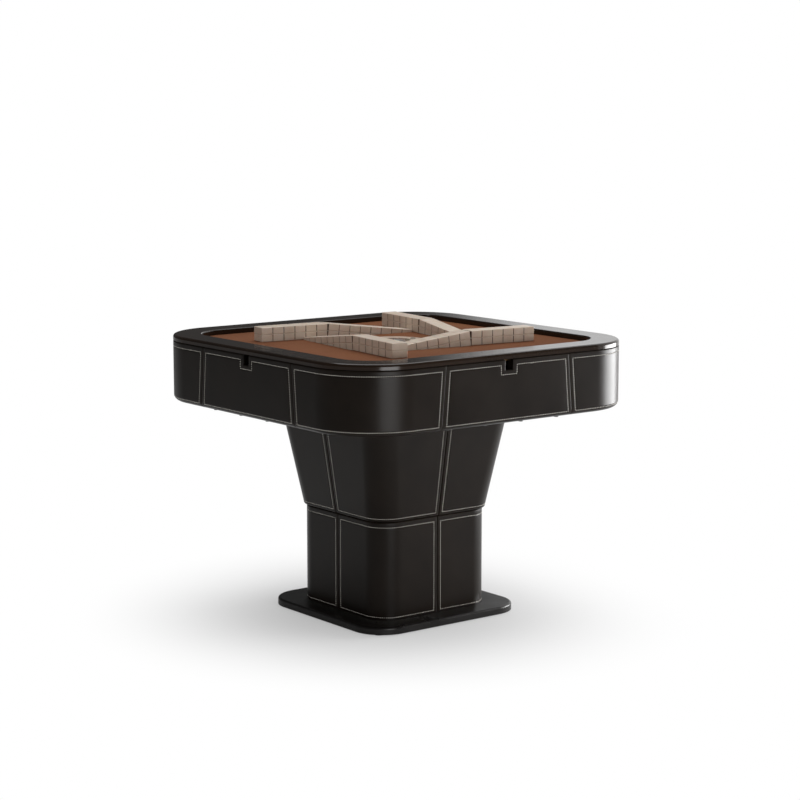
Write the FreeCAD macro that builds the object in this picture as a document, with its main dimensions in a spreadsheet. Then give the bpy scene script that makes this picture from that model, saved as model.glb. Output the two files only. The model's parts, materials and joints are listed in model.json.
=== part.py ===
"""Automatic mahjong table: a square pedestal table with four drawers, a lifting centre console,
a mixing machine inside and four tile walls that stand on ramps.

Millimetres, +Z up, origin on the floor under the middle. The front is -Y.
"""

import FreeCAD, Part

import math
import os
import re

import Sketcher

UP = FreeCAD.Vector(0, 0, 1)
ACROSS = FreeCAD.Vector(0, 1, 0)
QUARTER = 90
HALF_TURN = 180
FULL_TURN = 360
SIDES = ("front", "right", "back", "left")
CORNERS = ("front_left", "front_right", "back_right", "back_left")

DRIVING = {
    # whole table
    "rim_top": 760,
    "top_half": 485,
    "top_corner": 177,
    "skirt_bottom": 578,
    # rim
    "rim_thick": 15,
    "rim_width": 79,
    "rim_outer_round": 7,
    "rim_inner_round": 4,
    # leather panels of the skirt and the drawer fronts among them
    "panel_thick": 18,
    "panel_groove": 1.5,
    "panel_top_round": 3,
    "skirt_round": 16,
    "seam_half_top": 205,
    "seam_half_bottom": 218.7,
    "seam_gap": 1.6,
    "notch_width": 25,
    "notch_deep": 27,
    "notch_round": 4,
    # skirt frame and chassis pan
    "frame_wall": 15,
    "ledge_deep": 20,
    "ledge_thick": 12,
    "pan_thick": 12,
    "pan_hole": 24,
    "pan_hole_place": 110,
    "finger_width": 72,
    # drawer trays and their runners
    "tray_width": 330,
    "tray_deep": 140,
    "tray_height": 60,
    "tray_wall": 6,
    "tray_floor": 5,
    "tray_rise": 34,
    "window_gap": 3,
    "runner_wall": 3,
    "runner_foot": 16,
    "runner_height": 24,
    "runner_gap": 0.3,
    # pedestal
    "lower_half": 192,
    "lower_corner": 67,
    "kink_height": 289.5,
    "kink_gap": 1.5,
    "kink_round": 4,
    "upper_half_low": 198,
    "upper_half_high": 244,
    "upper_corner": 68,
    "pillar_panel": 12,
    "pillar_seam": 3,
    "carcass_wall": 12,
    "collar_thick": 18,
    # base
    "base_half": 257,
    "base_corner": 89,
    "base_thick": 19.8,
    "base_round": 6,
    "glide_radius": 18,
    "glide_height": 3,
    # play board and cloth
    "board_thick": 9,
    "cloth_thick": 1.2,
    "board_gap": 1,
    # tiles and the rows they stand in
    "tile_width": 33.8,
    "tile_length": 47,
    "tile_thick": 19.8,
    "tile_round": 2,
    "tile_gap": 0.2,
    "row_end_x": 301,
    "row_end_y": 236.8,
    "row_angle": 6.7,
    "ramp_angle": 7,
    "level_stacks": 6,
    "ramp_stacks": 8,
    # ramp chutes and pushers
    "chute_wall": 1.6,
    "chute_gap": 0.6,
    "chute_seat": 0.2,
    "slot_gap": 1.2,
    "lip_drop": 0.5,
    "pusher_length": 30,
    "pusher_height": 16,
    "pusher_gap": 0.5,
    "pusher_run": 55,
    "pusher_round": 3,
    # centre console, dice and buttons
    "console_radius": 95,
    "console_thick": 16,
    "console_proud": 1,
    "console_round": 3,
    "console_gap": 1.5,
    "well_radius": 38,
    "well_deep": 11,
    "dome_rise": 3.5,
    "dome_wall": 1.6,
    "dome_flange": 6,
    "plate_thick": 2,
    "plate_gap": 0.6,
    "plate_pin": 4,
    "plate_pin_length": 3,
    "pin_fit": 0.05,
    "dice_size": 8,
    "dice_round": 1.5,
    "dice_place": 13,
    "button_radius": 7,
    "button_place": 66,
    "button_proud": 2,
    "button_deep": 6,
    "button_stem": 3.5,
    "button_fit": 0.3,
    # console lift
    "post_radius": 28,
    "post_wall": 4,
    "post_length": 128,
    "post_fit": 0.05,
    "guide_wall": 5,
    "guide_height": 105,
    "guide_foot": 24,
    "guide_foot_thick": 6,
    # mixing bowl and disc
    "bowl_radius": 235,
    "bowl_wall": 3,
    "bowl_floor_rise": 40,
    "bowl_side": 56,
    "bowl_ledge": 45,
    "bowl_neck": 99,
    "bowl_neck_gap": 2,
    "bowl_leg": 14,
    "disc_gap": 4,
    "disc_thick": 6,
    "disc_hub_wall": 12,
    "disc_hub_height": 26,
    "disc_fit": 0.06,
    "disc_rib_height": 7,
    "disc_rib_wide": 10,
    "wheel_clear": 22,
    "track_wall": 6,
    "track_deep": 16,
    "track_gap": 0.15,
    "wheel_radius": 25,
    "wheel_thick": 12,
    "wheel_bore": 4,
    "wheel_fit": 0.05,
    "motor_radius": 28,
    "motor_height": 26,
    # electrics under and in the chassis
    "box_length": 120,
    "box_width": 80,
    "box_height": 45,
    "box_inset": 142,
    "box_round": 5,
    "inlet_inset": 82,
    "inlet_length": 60,
    "inlet_width": 32,
    "inlet_height": 14,
    "inlet_wall": 2.5,
    "socket_length": 25,
    "socket_width": 18,
    "socket_deep": 12,
    "rocker_length": 18,
    "rocker_width": 12,
    "rocker_gap": 0.4,
    "rocker_proud": 2.5,
    "rocker_pin": 1.5,
    "rocker_angle": 8,
    "inlet_bridge": 7,
    # screws of the chassis pan
    "screw_count": 16,
    "screw_shank": 3,
    "screw_hole_gap": 0.1,
    "screw_head": 6,
    "screw_head_thick": 3.5,
    "screw_recess": 2.2,
    "screw_length": 22,
    "screw_inset": 8,
    # how far a cutting tool runs past what it cuts
    "overrun": 2,
}

DERIVED = {
    "play_top": "rim_top - rim_thick",
    "rim_inner_half": "top_half - rim_width",
    "rim_inner_corner": "top_corner - rim_width",
    "panel_top": "play_top - panel_groove",
    "panel_height": "panel_top - skirt_bottom",
    "frame_half": "top_half - panel_thick",
    "frame_corner": "top_corner - panel_thick",
    "hollow_half": "frame_half - frame_wall",
    "hollow_corner": "frame_corner - frame_wall",
    "pan_top": "skirt_bottom + pan_thick",
    "frame_height": "play_top - pan_top",
    "ledge_half": "hollow_half - ledge_deep",
    "ledge_corner": "hollow_corner - ledge_deep",
    "cloth_bottom": "play_top - cloth_thick",
    "board_bottom": "cloth_bottom - board_thick",
    "board_half": "hollow_half - board_gap",
    "board_corner": "hollow_corner - board_gap",
    "ledge_bottom": "board_bottom - ledge_thick",
    "seam_half_gap": "seam_gap / 2",
    "front_half_top": "seam_half_top - seam_half_gap",
    "front_half_bottom": "seam_half_bottom - seam_half_gap",
    "opening_half_top": "seam_half_top + seam_half_gap",
    "opening_half_bottom": "seam_half_bottom + seam_half_gap",
    "notch_half": "notch_width / 2",
    "notch_floor": "panel_top - notch_deep",
    "tray_bottom": "pan_top + tray_rise",
    "tray_top": "tray_bottom + tray_height",
    "tray_half": "tray_width / 2",
    "base_top": "glide_height + base_thick",
    "lower_height": "kink_height - kink_gap - base_top",
    "carcass_half": "lower_half - pillar_panel",
    "carcass_corner": "lower_corner - pillar_panel",
    "carcass_height": "skirt_bottom - base_top",
    "carcass_inner_half": "carcass_half - carcass_wall",
    "carcass_inner_corner": "carcass_corner - carcass_wall",
    "upper_height": "skirt_bottom - kink_height",
    "upper_inner_low": "upper_half_low - pillar_panel",
    "upper_inner_high": "upper_half_high - pillar_panel",
    "upper_inner_corner": "upper_corner - pillar_panel",
    "foot_half": "upper_half_low - kink_round",
    "foot_corner": "upper_corner - kink_round",
    "collar_bottom": "skirt_bottom - collar_thick",
    "collar_half": "upper_inner_low + (upper_inner_high - upper_inner_low)"
                   " * (upper_height - collar_thick) / upper_height",
    "pillar_half_seam": "pillar_seam / 2",
    "glide_place": "base_half - base_corner / 2",
    "hole_radius": "console_radius + console_gap",
    "console_top": "play_top + console_proud",
    "console_bottom": "console_top - console_thick",
    "well_floor": "console_top - well_deep",
    "post_bottom": "console_bottom - post_length",
    "post_hollow": "post_radius - post_wall",
    "guide_bore": "post_radius + post_fit",
    "guide_radius": "guide_bore + guide_wall",
    "guide_foot_radius": "guide_radius + guide_foot",
    "guide_top": "pan_top + guide_height",
    "bowl_floor": "pan_top + bowl_floor_rise",
    "bowl_shoulder": "bowl_floor + bowl_side",
    "bowl_mouth": "board_bottom - bowl_neck_gap",
    "bowl_outer": "bowl_radius + bowl_wall",
    "bowl_neck_outer": "bowl_neck + bowl_wall",
    "bowl_floor_low": "bowl_floor - bowl_wall",
    "bowl_ledge_inner": "bowl_radius - bowl_ledge",
    "disc_bottom": "bowl_floor + disc_gap",
    "disc_top": "disc_bottom + disc_thick",
    "disc_radius": "bowl_radius - disc_gap",
    "disc_bore": "guide_radius + disc_fit",
    "disc_hub": "disc_bore + disc_hub_wall",
    "disc_hub_top": "guide_top - disc_gap",
    "disc_hub_low": "disc_bottom - disc_hub_height",
    "track_radius": "bowl_ledge_inner - 2 * wheel_radius - wheel_clear",
    "track_inner": "track_radius - track_wall",
    "track_low": "disc_bottom - track_deep",
    "wheel_place": "track_radius + track_gap + wheel_radius",
    "wheel_bottom": "track_low + (track_deep - wheel_thick) / 2",
    "wheel_shaft": "wheel_bore - wheel_fit",
    "box_place": "hollow_half - box_inset",
    "inlet_place": "hollow_half - inlet_inset",
}

doc = FreeCAD.newDocument("mahjong_table")
sheet = doc.addObject("Spreadsheet::Sheet", "sizes")
for row, (name, content) in enumerate([*DRIVING.items(), *DERIVED.items()], 1):
    sheet.set(f"A{row}", name)
    sheet.set(f"B{row}", f"={content}" if name in DERIVED else str(content))
    sheet.setAlias(f"B{row}", name)
doc.recompute()

nodes = {}


def value(name):
    """The sheet's number for a name, which may carry a minus sign; zero is written as 0."""
    if name == "0":
        return 0.0
    sign = -1 if name.startswith("-") else 1
    return sign * float(getattr(sheet, name.lstrip("-")))


def bind(thing, **formulas):
    """Tie properties of a feature to formulas of the sheet's names."""
    for place, formula in formulas.items():
        linked = re.sub(r"[a-z][a-z_]+", lambda found: f"sizes.{found.group()}", str(formula))
        thing.setExpression(place, linked)
    return thing


def put(thing, x="0", y="0", z="0"):
    """Tie the place of a feature to formulas of the sheet's names."""
    for axis, formula in (("x", x), ("y", y), ("z", z)):
        bind(thing, **{f"Placement.Base.{axis}": formula})
    return thing


def keep(name, thing):
    """Register a finished sub-part under its node name."""
    thing.Label = name
    nodes[name] = thing
    return thing


def turned(quarter):
    """The placement that turns a front piece to one of the four sides."""
    return FreeCAD.Placement(FreeCAD.Vector(), FreeCAD.Rotation(UP, quarter * QUARTER))


def block(x, y, z, length, width, height):
    solid = bind(doc.addObject("Part::Box", "block"), Length=length, Width=width, Height=height)
    return put(solid, x, y, z)


def rod(radius, z, height, x="0", y="0"):
    solid = bind(doc.addObject("Part::Cylinder", "rod"), Radius=radius, Height=height)
    return put(solid, x, y, z)


def cut(base, *tools):
    for tool in tools:
        result = doc.addObject("Part::Cut", "cut")
        result.Base = base
        result.Tool = tool
        base = result
    return base


def fuse(*shapes):
    result = doc.addObject("Part::MultiFuse", "fuse")
    result.Shapes = list(shapes)
    return result


def overlap(base, tool):
    result = doc.addObject("Part::Common", "overlap")
    result.Base = base
    result.Tool = tool
    return result


def group(shapes):
    result = doc.addObject("Part::Compound", "group")
    result.Links = list(shapes)
    return result


def new_sketch(body, plane):
    sketch = body.newObject("Sketcher::SketchObject", "sketch")
    support = [item for item in body.Origin.OriginFeatures if item.Role == plane]
    sketch.AttachmentSupport = [(support[0], "")]
    sketch.MapMode = "FlatFace"
    return sketch


def rounded_square(body, half, corner, level=None):
    """A square outline round the body's axis with four equal rounded corners."""
    sketch = new_sketch(body, "XY_Plane")
    if level:
        bind(sketch, **{"AttachmentOffset.Base.z": level})
    reach = value(half)
    radius = value(corner)
    inner = reach - radius
    for quarter in range(4):
        turn = FreeCAD.Rotation(UP, quarter * QUARTER)
        start = turn.multVec(FreeCAD.Vector(-inner, -reach, 0))
        end = turn.multVec(FreeCAD.Vector(inner, -reach, 0))
        sketch.addGeometry(Part.LineSegment(start, end), False)
        middle = turn.multVec(FreeCAD.Vector(inner, -inner, 0))
        circle = Part.Circle(middle, UP, radius)
        first = math.radians((quarter - 1) * QUARTER)
        arc = Part.ArcOfCircle(circle, first, first + math.pi / 2)
        sketch.addGeometry(arc, False)
    origin = -1
    for side in range(4):
        line = 2 * side
        arc = line + 1
        following = (line + 2) % 8
        sketch.addConstraint(Sketcher.Constraint("Tangent", line, 2, arc, 1))
        sketch.addConstraint(Sketcher.Constraint("Tangent", arc, 2, following, 1))
        sketch.addConstraint(Sketcher.Constraint("Vertical" if side % 2 else "Horizontal", line))
        place = sketch.addConstraint(Sketcher.Constraint("Distance", origin, 1, line, reach))
        bind(sketch, **{f"Constraints[{place}]": half})
        bend = sketch.addConstraint(Sketcher.Constraint("Radius", arc, radius))
        bind(sketch, **{f"Constraints[{bend}]": corner})
    return sketch


def polygon(body, plane, points):
    """A closed outline whose corners are pairs of names of the sheet."""
    sketch = new_sketch(body, plane)
    places = [FreeCAD.Vector(value(along), value(up), 0) for along, up in points]
    count = len(points)
    for index in range(count):
        line = Part.LineSegment(places[index], places[(index + 1) % count])
        sketch.addGeometry(line, False)
    origin = -1
    for index, corner in enumerate(points):
        following = (index + 1) % count
        sketch.addConstraint(Sketcher.Constraint("Coincident", index, 2, following, 1))
        for kind, name, distance in zip(("DistanceX", "DistanceY"), corner, places[index]):
            if name == "0":
                held = "PointOnObject"
                axis = -2 if kind == "DistanceX" else -1
                sketch.addConstraint(Sketcher.Constraint(held, index, 1, axis))
                continue
            rule = Sketcher.Constraint(kind, origin, 1, index, 1, distance)
            place = sketch.addConstraint(rule)
            bind(sketch, **{f"Constraints[{place}]": name})
    return sketch


def pad(body, sketch, length, cutting=False):
    feature = body.newObject("PartDesign::Pocket" if cutting else "PartDesign::Pad", "pad")
    feature.Profile = sketch
    feature.Reversed = cutting
    return bind(feature, Length=length)


def spin(body, sketch):
    feature = body.newObject("PartDesign::Revolution", "revolution")
    feature.Profile = sketch
    feature.ReferenceAxis = (sketch, ["V_Axis"])
    feature.Angle = FULL_TURN
    return feature


def soften(body, radius, chosen):
    """Round those edges of the body whose middle passes a test."""
    doc.recompute()
    base = body.Tip
    names = [f"Edge{number}" for number, edge in enumerate(base.Shape.Edges, 1)
             if chosen(edge.CenterOfMass)]
    feature = body.newObject("PartDesign::Fillet", "fillet")
    feature.Base = (base, names)
    return bind(feature, Radius=radius)


def at_level(name):
    """A test for edges that lie level at a height of the sheet."""
    height = value(name)
    return lambda middle: math.isclose(middle.z, height, abs_tol=value("tile_gap"))


def plate(half, corner, bottom, thick):
    """A rounded square plate."""
    body = doc.addObject("PartDesign::Body", "plate")
    pad(body, rounded_square(body, half, corner), thick)
    return put(body, z=bottom)


def ring(half, corner, inner_half, inner_corner, bottom, thick):
    """A rounded square plate with a rounded square hole."""
    body = plate(half, corner, bottom, thick)
    pad(body, rounded_square(body, inner_half, inner_corner), thick, cutting=True)
    return body


def loft(*levels):
    """A solid ruled between rounded squares, each given as half width, corner and height."""
    body = doc.addObject("PartDesign::Body", "loft")
    feature = body.newObject("PartDesign::AdditiveLoft", "loft")
    sections = [rounded_square(body, half, corner, level) for half, corner, level in levels]
    feature.Profile = sections[0]
    feature.Sections = sections[1:]
    feature.Ruled = True
    return put(body, z="kink_height")


def corner_block(quarter, half_gap, bottom, height):
    """A tall block that holds one corner of the table, short of the seam in each face."""
    reach = "top_half + overrun"
    width = f"{reach} - {half_gap}"
    solid = bind(doc.addObject("Part::Box", "corner"), Length=width, Width=width, Height=height)
    start = FreeCAD.Vector(-value("top_half") - value("overrun"), 0, value(bottom))
    start.y = start.x
    turn = turned(quarter)
    solid.Placement = turn.multiply(FreeCAD.Placement(start, FreeCAD.Rotation()))
    return solid


def build_base():
    body = plate("base_half", "base_corner", "glide_height", "base_thick")
    soften(body, "base_round", at_level("base_thick"))
    keep("base_plate", body)
    places = [(x, y) for x in ("glide_place", "-glide_place") for y in ("glide_place", "-glide_place")]
    glides = [rod("glide_radius", "0", "glide_height", x, y) for x, y in places]
    keep("base_glides", group(glides))


def build_pillar():
    """The carcass tube with its ledge and top collar, and the leather panels round it."""
    tube = ring("carcass_half", "carcass_corner", "carcass_inner_half", "carcass_inner_corner",
                "base_top", "carcass_height")
    ledge = ring("upper_inner_low", "upper_inner_corner", "carcass_inner_half",
                 "carcass_inner_corner", "kink_height", "carcass_wall")
    collar = ring("collar_half", "upper_inner_corner", "carcass_inner_half",
                  "carcass_inner_corner", "collar_bottom", "collar_thick")
    keep("pedestal_carcass", fuse(tube, ledge, collar))

    lower = ring("lower_half", "lower_corner", "carcass_half", "carcass_corner",
                 "base_top", "lower_height")
    outside = value("lower_half") - value("lower_corner")
    top_edge = at_level("lower_height")
    middle = value("carcass_half")
    soften(lower, "kink_round",
           lambda point: top_edge(point) and max(abs(point.x), abs(point.y)) > middle
           or top_edge(point) and min(abs(point.x), abs(point.y)) > outside
           and math.hypot(point.x, point.y) > math.hypot(middle, outside))
    upper = loft(("foot_half", "foot_corner", None), ("upper_half_low", "upper_corner", "kink_round"),
                 ("upper_half_high", "upper_corner", "upper_height"))
    hollow = loft(("upper_inner_low", "upper_inner_corner", None),
                  ("upper_inner_high", "upper_inner_corner", "upper_height"))
    skin = cut(upper, hollow)
    for quarter, corner in enumerate(CORNERS):
        low_block = corner_block(quarter, "pillar_half_seam", "base_top", "carcass_height")
        keep(f"lower_panel_{corner}", overlap(lower, low_block))
        high_block = corner_block(quarter, "pillar_half_seam", "kink_height", "upper_height")
        keep(f"upper_panel_{corner}", overlap(skin, high_block))


def screw_places():
    """Points under the middle line of the skirt frame's wall, spread evenly round its four sides."""
    line = value("frame_half") - value("screw_inset")
    per_side = int(value("screw_count")) // len(SIDES)
    straight = 2 * (value("frame_half") - value("frame_corner"))
    for quarter in range(len(SIDES)):
        for index in range(per_side):
            share = (index + 1) / (per_side + 1) - 1 / 2
            point = FreeCAD.Vector(straight * share, -line, 0)
            yield turned(quarter).multVec(point)


def build_chassis():
    """The pan, the wooden frame on it with a window for each drawer, and the pan's screws."""
    pan = plate("frame_half", "frame_corner", "skirt_bottom", "pan_thick")
    hole = rod("pan_hole", "skirt_bottom - overrun", "pan_thick + 2 * overrun", "-pan_hole_place")
    shank = value("screw_shank")
    length = value("screw_length")
    head = value("screw_head_thick")
    recess = value("screw_recess")
    under = value("skirt_bottom")
    screws = []
    bores = []
    for point in screw_places():
        seat = FreeCAD.Vector(point.x, point.y, under)
        bore_radius = shank + value("screw_hole_gap")
        bores.append(Part.makeCylinder(bore_radius, length + value("overrun"), seat))
        screw = Part.makeCylinder(shank, length, seat).fuse(
            Part.makeCylinder(value("screw_head"), head, seat - UP * head))
        hexagon = Part.makeCylinder(recess, recess, seat - UP * head)
        screws.append(screw.cut(hexagon))
    bore_tool = doc.addObject("Part::Feature", "bores")
    bore_tool.Shape = Part.makeCompound(bores)
    screw_set = doc.addObject("Part::Feature", "screws")
    screw_set.Shape = Part.makeCompound(screws)
    keep("pan_screws", screw_set)
    keep("chassis_pan", cut(pan, hole, bore_tool))

    wall = ring("frame_half", "frame_corner", "hollow_half", "hollow_corner", "pan_top", "frame_height")
    ledge = ring("hollow_half", "hollow_corner", "ledge_half", "ledge_corner",
                 "ledge_bottom", "ledge_thick")
    windows = []
    for quarter in range(0, 2):
        window = block("-tray_half - window_gap", "-top_half", "tray_bottom - window_gap",
                       "tray_width + 2 * window_gap", "2 * top_half", "tray_height + 2 * window_gap")
        finger = block("-finger_width / 2", "-top_half", "tray_top",
                       "finger_width", "2 * top_half", "cloth_bottom - tray_top")
        opening = fuse(window, finger)
        opening.Placement = turned(quarter)
        windows.append(opening)
    frame = cut(wall, *windows, bore_tool)
    keep("skirt_frame", fuse(frame, ledge))


def build_skirt():
    """Four leather panels that wrap the corners; the drawer fronts fill the gaps between them."""
    shell = ring("top_half", "top_corner", "frame_half", "frame_corner", "skirt_bottom", "panel_height")
    limit = value("frame_half")
    reach = value("frame_corner")
    inner_line = limit - reach

    def outside(point):
        """Whether an edge lies on the outer wall rather than on the inner one."""
        straight = max(abs(point.x), abs(point.y)) > limit + value("seam_half_gap")
        bend_x = abs(point.x) - inner_line
        bend_y = abs(point.y) - inner_line
        curved = bend_x > 0 and bend_y > 0 and math.hypot(bend_x, bend_y) > reach
        return straight or curved

    low = at_level("tile_gap")
    high = at_level("panel_height")
    soften(shell, "skirt_round", lambda point: low(point) and outside(point))
    soften(shell, "panel_top_round", lambda point: high(point) and outside(point))
    openings = []
    for quarter in range(0, 2):
        body = doc.addObject("PartDesign::Body", "opening")
        outline = polygon(body, "XZ_Plane", (("-opening_half_bottom", "0"), ("opening_half_bottom", "0"),
                                             ("opening_half_top", "panel_height"),
                                             ("-opening_half_top", "panel_height")))
        feature = pad(body, outline, "2 * top_half + 2 * overrun")
        feature.Midplane = True
        body.Placement = FreeCAD.Placement(UP * value("skirt_bottom"),
                                           FreeCAD.Rotation(UP, quarter * QUARTER))
        openings.append(body)
    corners = cut(shell, *openings)
    for quarter, corner in enumerate(CORNERS):
        part = corner_block(quarter, "seam_half_gap", "skirt_bottom", "panel_height")
        keep(f"skirt_corner_{corner}", overlap(corners, part))


def build_drawer(quarter, side):
    """A leather front with its finger notch, and the tray behind it."""
    body = doc.addObject("PartDesign::Body", "front")
    outline = polygon(body, "XZ_Plane", (
        ("-front_half_bottom", "skirt_bottom"), ("front_half_bottom", "skirt_bottom"),
        ("front_half_top", "panel_top"), ("notch_half", "panel_top"),
        ("notch_half", "notch_floor"), ("-notch_half", "notch_floor"),
        ("-notch_half", "panel_top"), ("-front_half_top", "panel_top")))
    pad(body, outline, "panel_thick")
    face = -value("panel_thick")
    notch = at_level("notch_floor")
    low = at_level("skirt_bottom")
    high = at_level("panel_top")
    notch_side = value("notch_half")
    gap = value("tile_gap")
    soften(body, "notch_round",
           lambda point: notch(point) and math.isclose(abs(point.x), notch_side, abs_tol=gap))
    soften(body, "skirt_round",
           lambda point: low(point) and math.isclose(point.y, face, abs_tol=gap))
    soften(body, "panel_top_round",
           lambda point: high(point) and math.isclose(point.y, face, abs_tol=gap))
    back = FreeCAD.Placement(FreeCAD.Vector(0, -value("frame_half"), 0), FreeCAD.Rotation())
    body.Placement = turned(quarter).multiply(back)
    keep(f"drawer_front_{side}", body)

    outer = block("-tray_half", "-frame_half", "tray_bottom", "tray_width", "tray_deep", "tray_height")
    inner = block("-tray_half + tray_wall", "-frame_half + tray_wall", "tray_bottom + tray_floor",
                  "tray_width - 2 * tray_wall", "tray_deep - 2 * tray_wall", "tray_height")
    tray = cut(outer, inner)
    tray.Placement = turned(quarter)
    keep(f"drawer_tray_{side}", tray)

    runners = []
    for flip in (0, 1):
        angle = block("tray_half - runner_foot", "-hollow_half", "tray_bottom - runner_wall",
                      "runner_foot + runner_gap + runner_wall", "tray_deep - frame_wall",
                      "runner_height")
        room = block("tray_half - runner_foot - overrun", "-hollow_half - overrun", "tray_bottom",
                     "runner_foot + runner_gap + overrun",
                     "tray_deep - frame_wall + 2 * overrun", "runner_height")
        runner = cut(angle, room)
        if flip:
            mirrored = doc.addObject("Part::Mirroring", "mirrored")
            mirrored.Source = runner
            mirrored.Normal = FreeCAD.Vector(1, 0, 0)
            runner = mirrored
        runners.append(runner)
    pair = group(runners)
    pair.Placement = turned(quarter)
    return pair


class Row:
    """One wall of tiles in its own frame: x runs against the row, y towards the middle of the
    table and z up from the cloth, with the origin at the foot of the wall's outer end."""

    pitch = value("tile_width") + value("tile_gap")
    height = 2 * value("tile_thick")
    stacks = int(value("level_stacks") + value("ramp_stacks"))

    def __init__(self, quarter):
        foot = FreeCAD.Vector(value("row_end_x"), -value("row_end_y"), value("play_top"))
        placed = FreeCAD.Placement(foot, FreeCAD.Rotation(UP, -value("row_angle")))
        self.placement = turned(quarter).multiply(placed)

    @classmethod
    def slope(cls, stack):
        """How far a stack leans: not at all in the level part, and then as the ramp does."""
        return value("ramp_angle") if stack >= value("level_stacks") else 0

    @classmethod
    def feet(cls):
        """The lower front edge of each stack, as a chain that turns down at the bend."""
        places = [FreeCAD.Vector()]
        for stack in range(cls.stacks):
            lean = math.radians(cls.slope(stack))
            step = FreeCAD.Vector(-math.cos(lean), 0, -math.sin(lean)) * cls.pitch
            places.append(places[-1] + step)
        return places

    @classmethod
    def down_ramp(cls, distance):
        """A point on the ramp's line, so far past the last stack."""
        lean = math.radians(value("ramp_angle"))
        step = FreeCAD.Vector(-math.cos(lean), 0, -math.sin(lean))
        return cls.feet()[-1] + step * distance

    @classmethod
    def slot_end(cls):
        """Where the slot in the board ends, clear of the last stack's leaning top."""
        lean = math.radians(value("ramp_angle"))
        return cls.feet()[-1].x - cls.height * math.sin(lean) - value("slot_gap")


def build_row(row, side):
    """The tiles: level stacks on the cloth, then stacks that lean down the ramp."""
    sizes = (value("tile_width"), value("tile_length"), value("tile_thick"))
    corner = FreeCAD.Vector(-value("tile_width"), 0, 0)
    tile = Part.makeBox(*sizes, corner)
    tile = tile.makeFillet(value("tile_round"), tile.Edges)
    tiles = []
    for stack, foot in zip(range(row.stacks), row.feet()):
        lean = FreeCAD.Rotation(ACROSS, -row.slope(stack))
        for level in range(2):
            lift = lean.multVec(UP * level * value("tile_thick"))
            one = tile.copy()
            one.Placement = FreeCAD.Placement(foot + lift, lean)
            tiles.append(one)
    wall = doc.addObject("Part::Feature", "tiles")
    wall.Shape = Part.makeCompound(tiles)
    wall.Placement = row.placement
    keep(f"tile_row_{side}", wall)


def build_chute(row):
    """A channel under a row's ramp: its floor follows the stacks, its walls end under the cloth."""
    level = int(value("level_stacks"))
    seat = UP * value("chute_seat")
    thick = UP * value("chute_wall")
    lip = -value("lip_drop")
    below = value("board_bottom") - value("play_top") - value("lip_drop")
    start = row.feet()[level].x - value("chute_gap")
    tail = row.down_ramp(value("pusher_gap") + value("pusher_length") + value("pusher_run"))
    first = row.feet()[level] - seat
    first.x = start
    floor = [first, *[foot - seat for foot in row.feet()[level + 1:]], tail - seat]
    under = [point - thick for point in reversed(floor)]
    wide = value("tile_length") + 2 * value("chute_gap")

    def strip(points, offset, width):
        placed = [FreeCAD.Vector(point.x, offset, point.z) for point in points]
        return Part.Face(Part.makePolygon([*placed, placed[0]])).extrude(ACROSS * width)

    base = strip([*floor, *under], -value("chute_gap"), wide)
    end = row.slot_end() + value("lip_drop")
    side = [FreeCAD.Vector(start, 0, lip), FreeCAD.Vector(end, 0, lip), FreeCAD.Vector(end, 0, below),
            FreeCAD.Vector(tail.x, 0, below), *under]
    near = strip(side, -value("chute_gap") - value("chute_wall"), value("chute_wall"))
    far = strip(side, value("tile_length") + value("chute_gap"), value("chute_wall"))
    trim = Part.makeBox(value("top_half"), value("top_half"), value("rim_thick"),
                        FreeCAD.Vector(-value("top_half"), -value("top_half") / 2, lip))
    chute = base.fuse([near, far]).removeSplitter().cut(trim)
    chute.Placement = row.placement
    return chute


def build_pusher(row, side):
    """The block that pushes a row up its chute; it stands just behind the last stack."""
    gap = value("chute_seat")
    sizes = (value("pusher_length"), value("tile_length") - 2 * gap, value("pusher_height"))
    corner = FreeCAD.Vector(-value("pusher_length"), gap, 0)
    body = Part.makeBox(*sizes, corner)
    body = body.makeFillet(value("pusher_round"),
                           [edge for edge in body.Edges if edge.CenterOfMass.z > value("pusher_round")])
    lean = FreeCAD.Rotation(ACROSS, -value("ramp_angle"))
    body.Placement = row.placement.multiply(FreeCAD.Placement(row.down_ramp(value("pusher_gap")), lean))
    pusher = doc.addObject("Part::Feature", "pusher")
    pusher.Shape = body
    keep(f"ramp_pusher_{side}", pusher)


def build_top(rows):
    """The rim, the cloth and the board, with the console's hole and a slot for each row."""
    rim = ring("top_half", "top_corner", "rim_inner_half", "rim_inner_corner", "play_top", "rim_thick")
    high = at_level("rim_thick")
    inner = value("rim_inner_half")
    line = value("top_half") - value("top_corner")
    edge_reach = value("top_corner") - value("rim_width") / 2

    def outer(point):
        """Whether an edge runs round the outside of the rim."""
        straight = max(abs(point.x), abs(point.y)) > inner + value("rim_width") / 2
        bend_x = abs(point.x) - line
        bend_y = abs(point.y) - line
        return straight or (min(bend_x, bend_y) > 0 and math.hypot(bend_x, bend_y) > edge_reach)

    soften(rim, "rim_outer_round", lambda point: high(point) and outer(point))
    soften(rim, "rim_inner_round", lambda point: high(point) and not outer(point))
    keep("rim_frame", rim)

    slots = doc.addObject("Part::Feature", "slots")
    margin = value("chute_gap") + value("chute_wall") + value("chute_seat")
    thick = value("board_thick") + value("cloth_thick") + 2 * value("overrun")
    tools = []
    for row in rows:
        end = row.slot_end()
        start = row.feet()[int(value("level_stacks"))].x
        corner = FreeCAD.Vector(end, -margin, value("overrun") - thick)
        tool = Part.makeBox(start - end, value("tile_length") + 2 * margin, thick, corner)
        tool.Placement = row.placement
        tools.append(tool)
    slots.Shape = Part.makeCompound(tools)
    hole = rod("hole_radius", "board_bottom - overrun", "board_thick + cloth_thick + 2 * overrun")
    for name, bottom, thickness in (("play_board", "board_bottom", "board_thick"),
                                    ("play_cloth", "cloth_bottom", "cloth_thick")):
        sheet_body = plate("board_half", "board_corner", bottom, thickness)
        keep(name, cut(sheet_body, hole, slots))


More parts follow.
